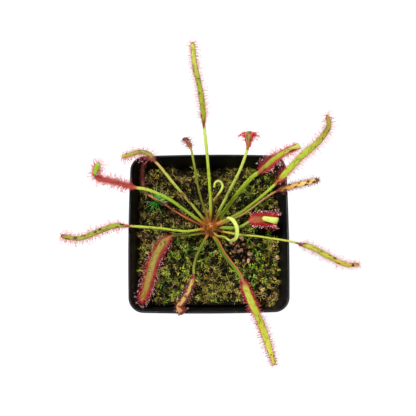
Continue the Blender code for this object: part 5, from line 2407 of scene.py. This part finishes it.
            (-32.5, 40, 103.5), (-37.5, 41.5, 103), (-42.5, 41, 100.5), (-48, 40.5, 96),
        ),
        4, (1.5, 2.6, 0.7),
        LeafSkin(
            stalk=srgb(194, 206, 88), far_stalk=srgb(200, 170, 96), joint=srgb(130, 70, 46),
            blade=srgb(140, 134, 54), far_blade=srgb(164, 166, 62), tip=srgb(196, 150, 90), specks=0.5,
            stain=srgb(128, 62, 56), joint_end=0.03,
        ),
        crowding=0.95, dew=0.2,
        blots=(
            (0.4, 0.5, 3.2, 1.0), (0.5, -0.2, 2.6, 0.9), (1.04, 0.5, 1.6, 0.8), (1.16, -0.8, 1.2, 0.5),
            (1.3, 0.9, 1.4, 0.4), (1.42, 0.9, 0.9, 0.35),
        ),
    ),
    LeafForm(
        "leaf_left_withered", Growth.OLD, 160, 66.5,
        (
            (-14.5, 11, 70), (-25.5, 18, 72), (-35.5, 24, 73), (-38, 29.5, 74), (-38.5, 35.5, 76.5),
            (-37, 40, 80),
        ),
        3, (1.2, 1.5, 1.1),
        LeafSkin(
            base=srgb(170, 84, 50), stalk=srgb(174, 92, 62), far_stalk=srgb(196, 124, 88),
            joint=srgb(96, 50, 40), blade=srgb(118, 56, 48), far_blade=srgb(124, 56, 50),
            tip=srgb(126, 46, 46), front=srgb(96, 34, 40), specks=0.6, blush=0.2, margin=srgb(60, 18, 24),
        ),
        fringe=0.32, withered=0.6, dew=0.04, crowding=1.2,
        blots=(
            (1.2, 0.5, 2.0, 0.7), (1.5, -0.5, 2.2, 0.7), (1.8, 0.4, 1.8, 0.8), (0.55, 0.6, 3.0, 0.7),
            (0.75, -0.4, 3.0, 0.8),
        ),
    ),
    LeafForm(
        "young_leaf_back", Growth.YOUNG, 84, 75,
        (
            (3.2, 14.4, 87), (4.2, 17.2, 94.5), (5.5, 18.9, 97), (6.9, 20.7, 98.2), (7.7, 23, 98.6),
            (6.9, 25, 98.9), (5.1, 25.7, 99), (3.6, 24.6, 98.8), (3.3, 22.7, 98.4),
        ),
        3, (1.3, 1.8, 1.5),
        LeafSkin(
            base=srgb(70, 44, 26), stalk=srgb(76, 54, 30), far_stalk=srgb(214, 140, 84),
            joint=srgb(184, 200, 96), blade=srgb(186, 208, 96), far_blade=srgb(200, 218, 112),
            tip=srgb(210, 220, 130), front=srgb(192, 212, 100), blush=0.05, specks=0.05, mottle=0.15,
            margin=srgb(176, 200, 84),
        ),
        fringe=0.0, on_edge=True, dew=0.1, thinning=-0.05,
    ),
    LeafForm(
        "young_leaf_front", Growth.YOUNG, 292, 74.5,
        (
            (5, -1.8, 78), (9, -3, 81.7), (12, -5.5, 85), (15.3, -4, 88), (15.7, 1, 89.5),
            (13.5, 5.5, 89), (10.5, 7.3, 87),
        ),
        3, (1.5, 2.2, 1.3),
        LeafSkin(
            base=srgb(170, 90, 50), stalk=srgb(170, 160, 66), far_stalk=srgb(196, 220, 96),
            joint=srgb(196, 226, 100), blade=srgb(200, 228, 108), far_blade=srgb(206, 190, 100),
            tip=srgb(196, 120, 60), front=srgb(206, 226, 112), blush=0.05, specks=0.05,
            margin=srgb(190, 212, 96),
        ),
        fringe=0.0, on_edge=True, dew=0.2,
    ),
)


TENTACLE_SKINS = {
    Hair.BRIGHT: TentacleSkin("tentacle_red", srgb(216, 96, 76), srgb(222, 58, 64), srgb(204, 26, 44)),
    Hair.DEEP: TentacleSkin("tentacle_deep", srgb(190, 66, 62), srgb(214, 42, 58), srgb(206, 20, 48)),
    Hair.OLD: TentacleSkin("tentacle_old", srgb(160, 84, 66), srgb(158, 44, 52), srgb(96, 18, 30)),
}


def main() -> None:
    """Builds the potted sundew, from the pot up, and the studio round it."""
    logging.basicConfig(level=logging.INFO, format="%(name)s %(message)s")
    NurseryPot().build()
    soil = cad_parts["soil"]
    soil.data.materials.clear()
    soil.data.materials.append(Peat().build())
    ground = Ground()
    carpet = MossCarpet(ground)
    carpet.build_bed()
    carpet.build_sprigs()
    HaircapTuft().build()
    Litter(ground).build()
    Crown().build()
    finishes = {hair: skin.build() for hair, skin in TENTACLE_SKINS.items()}
    dew = Dew().build()
    shapes = TentacleShapes.model()
    for form in LEAVES:
        Leaf(form, LeafLine.of(form)).build(finishes, dew, shapes)
    Studio().build()


if __name__ == "__main__":
    main()
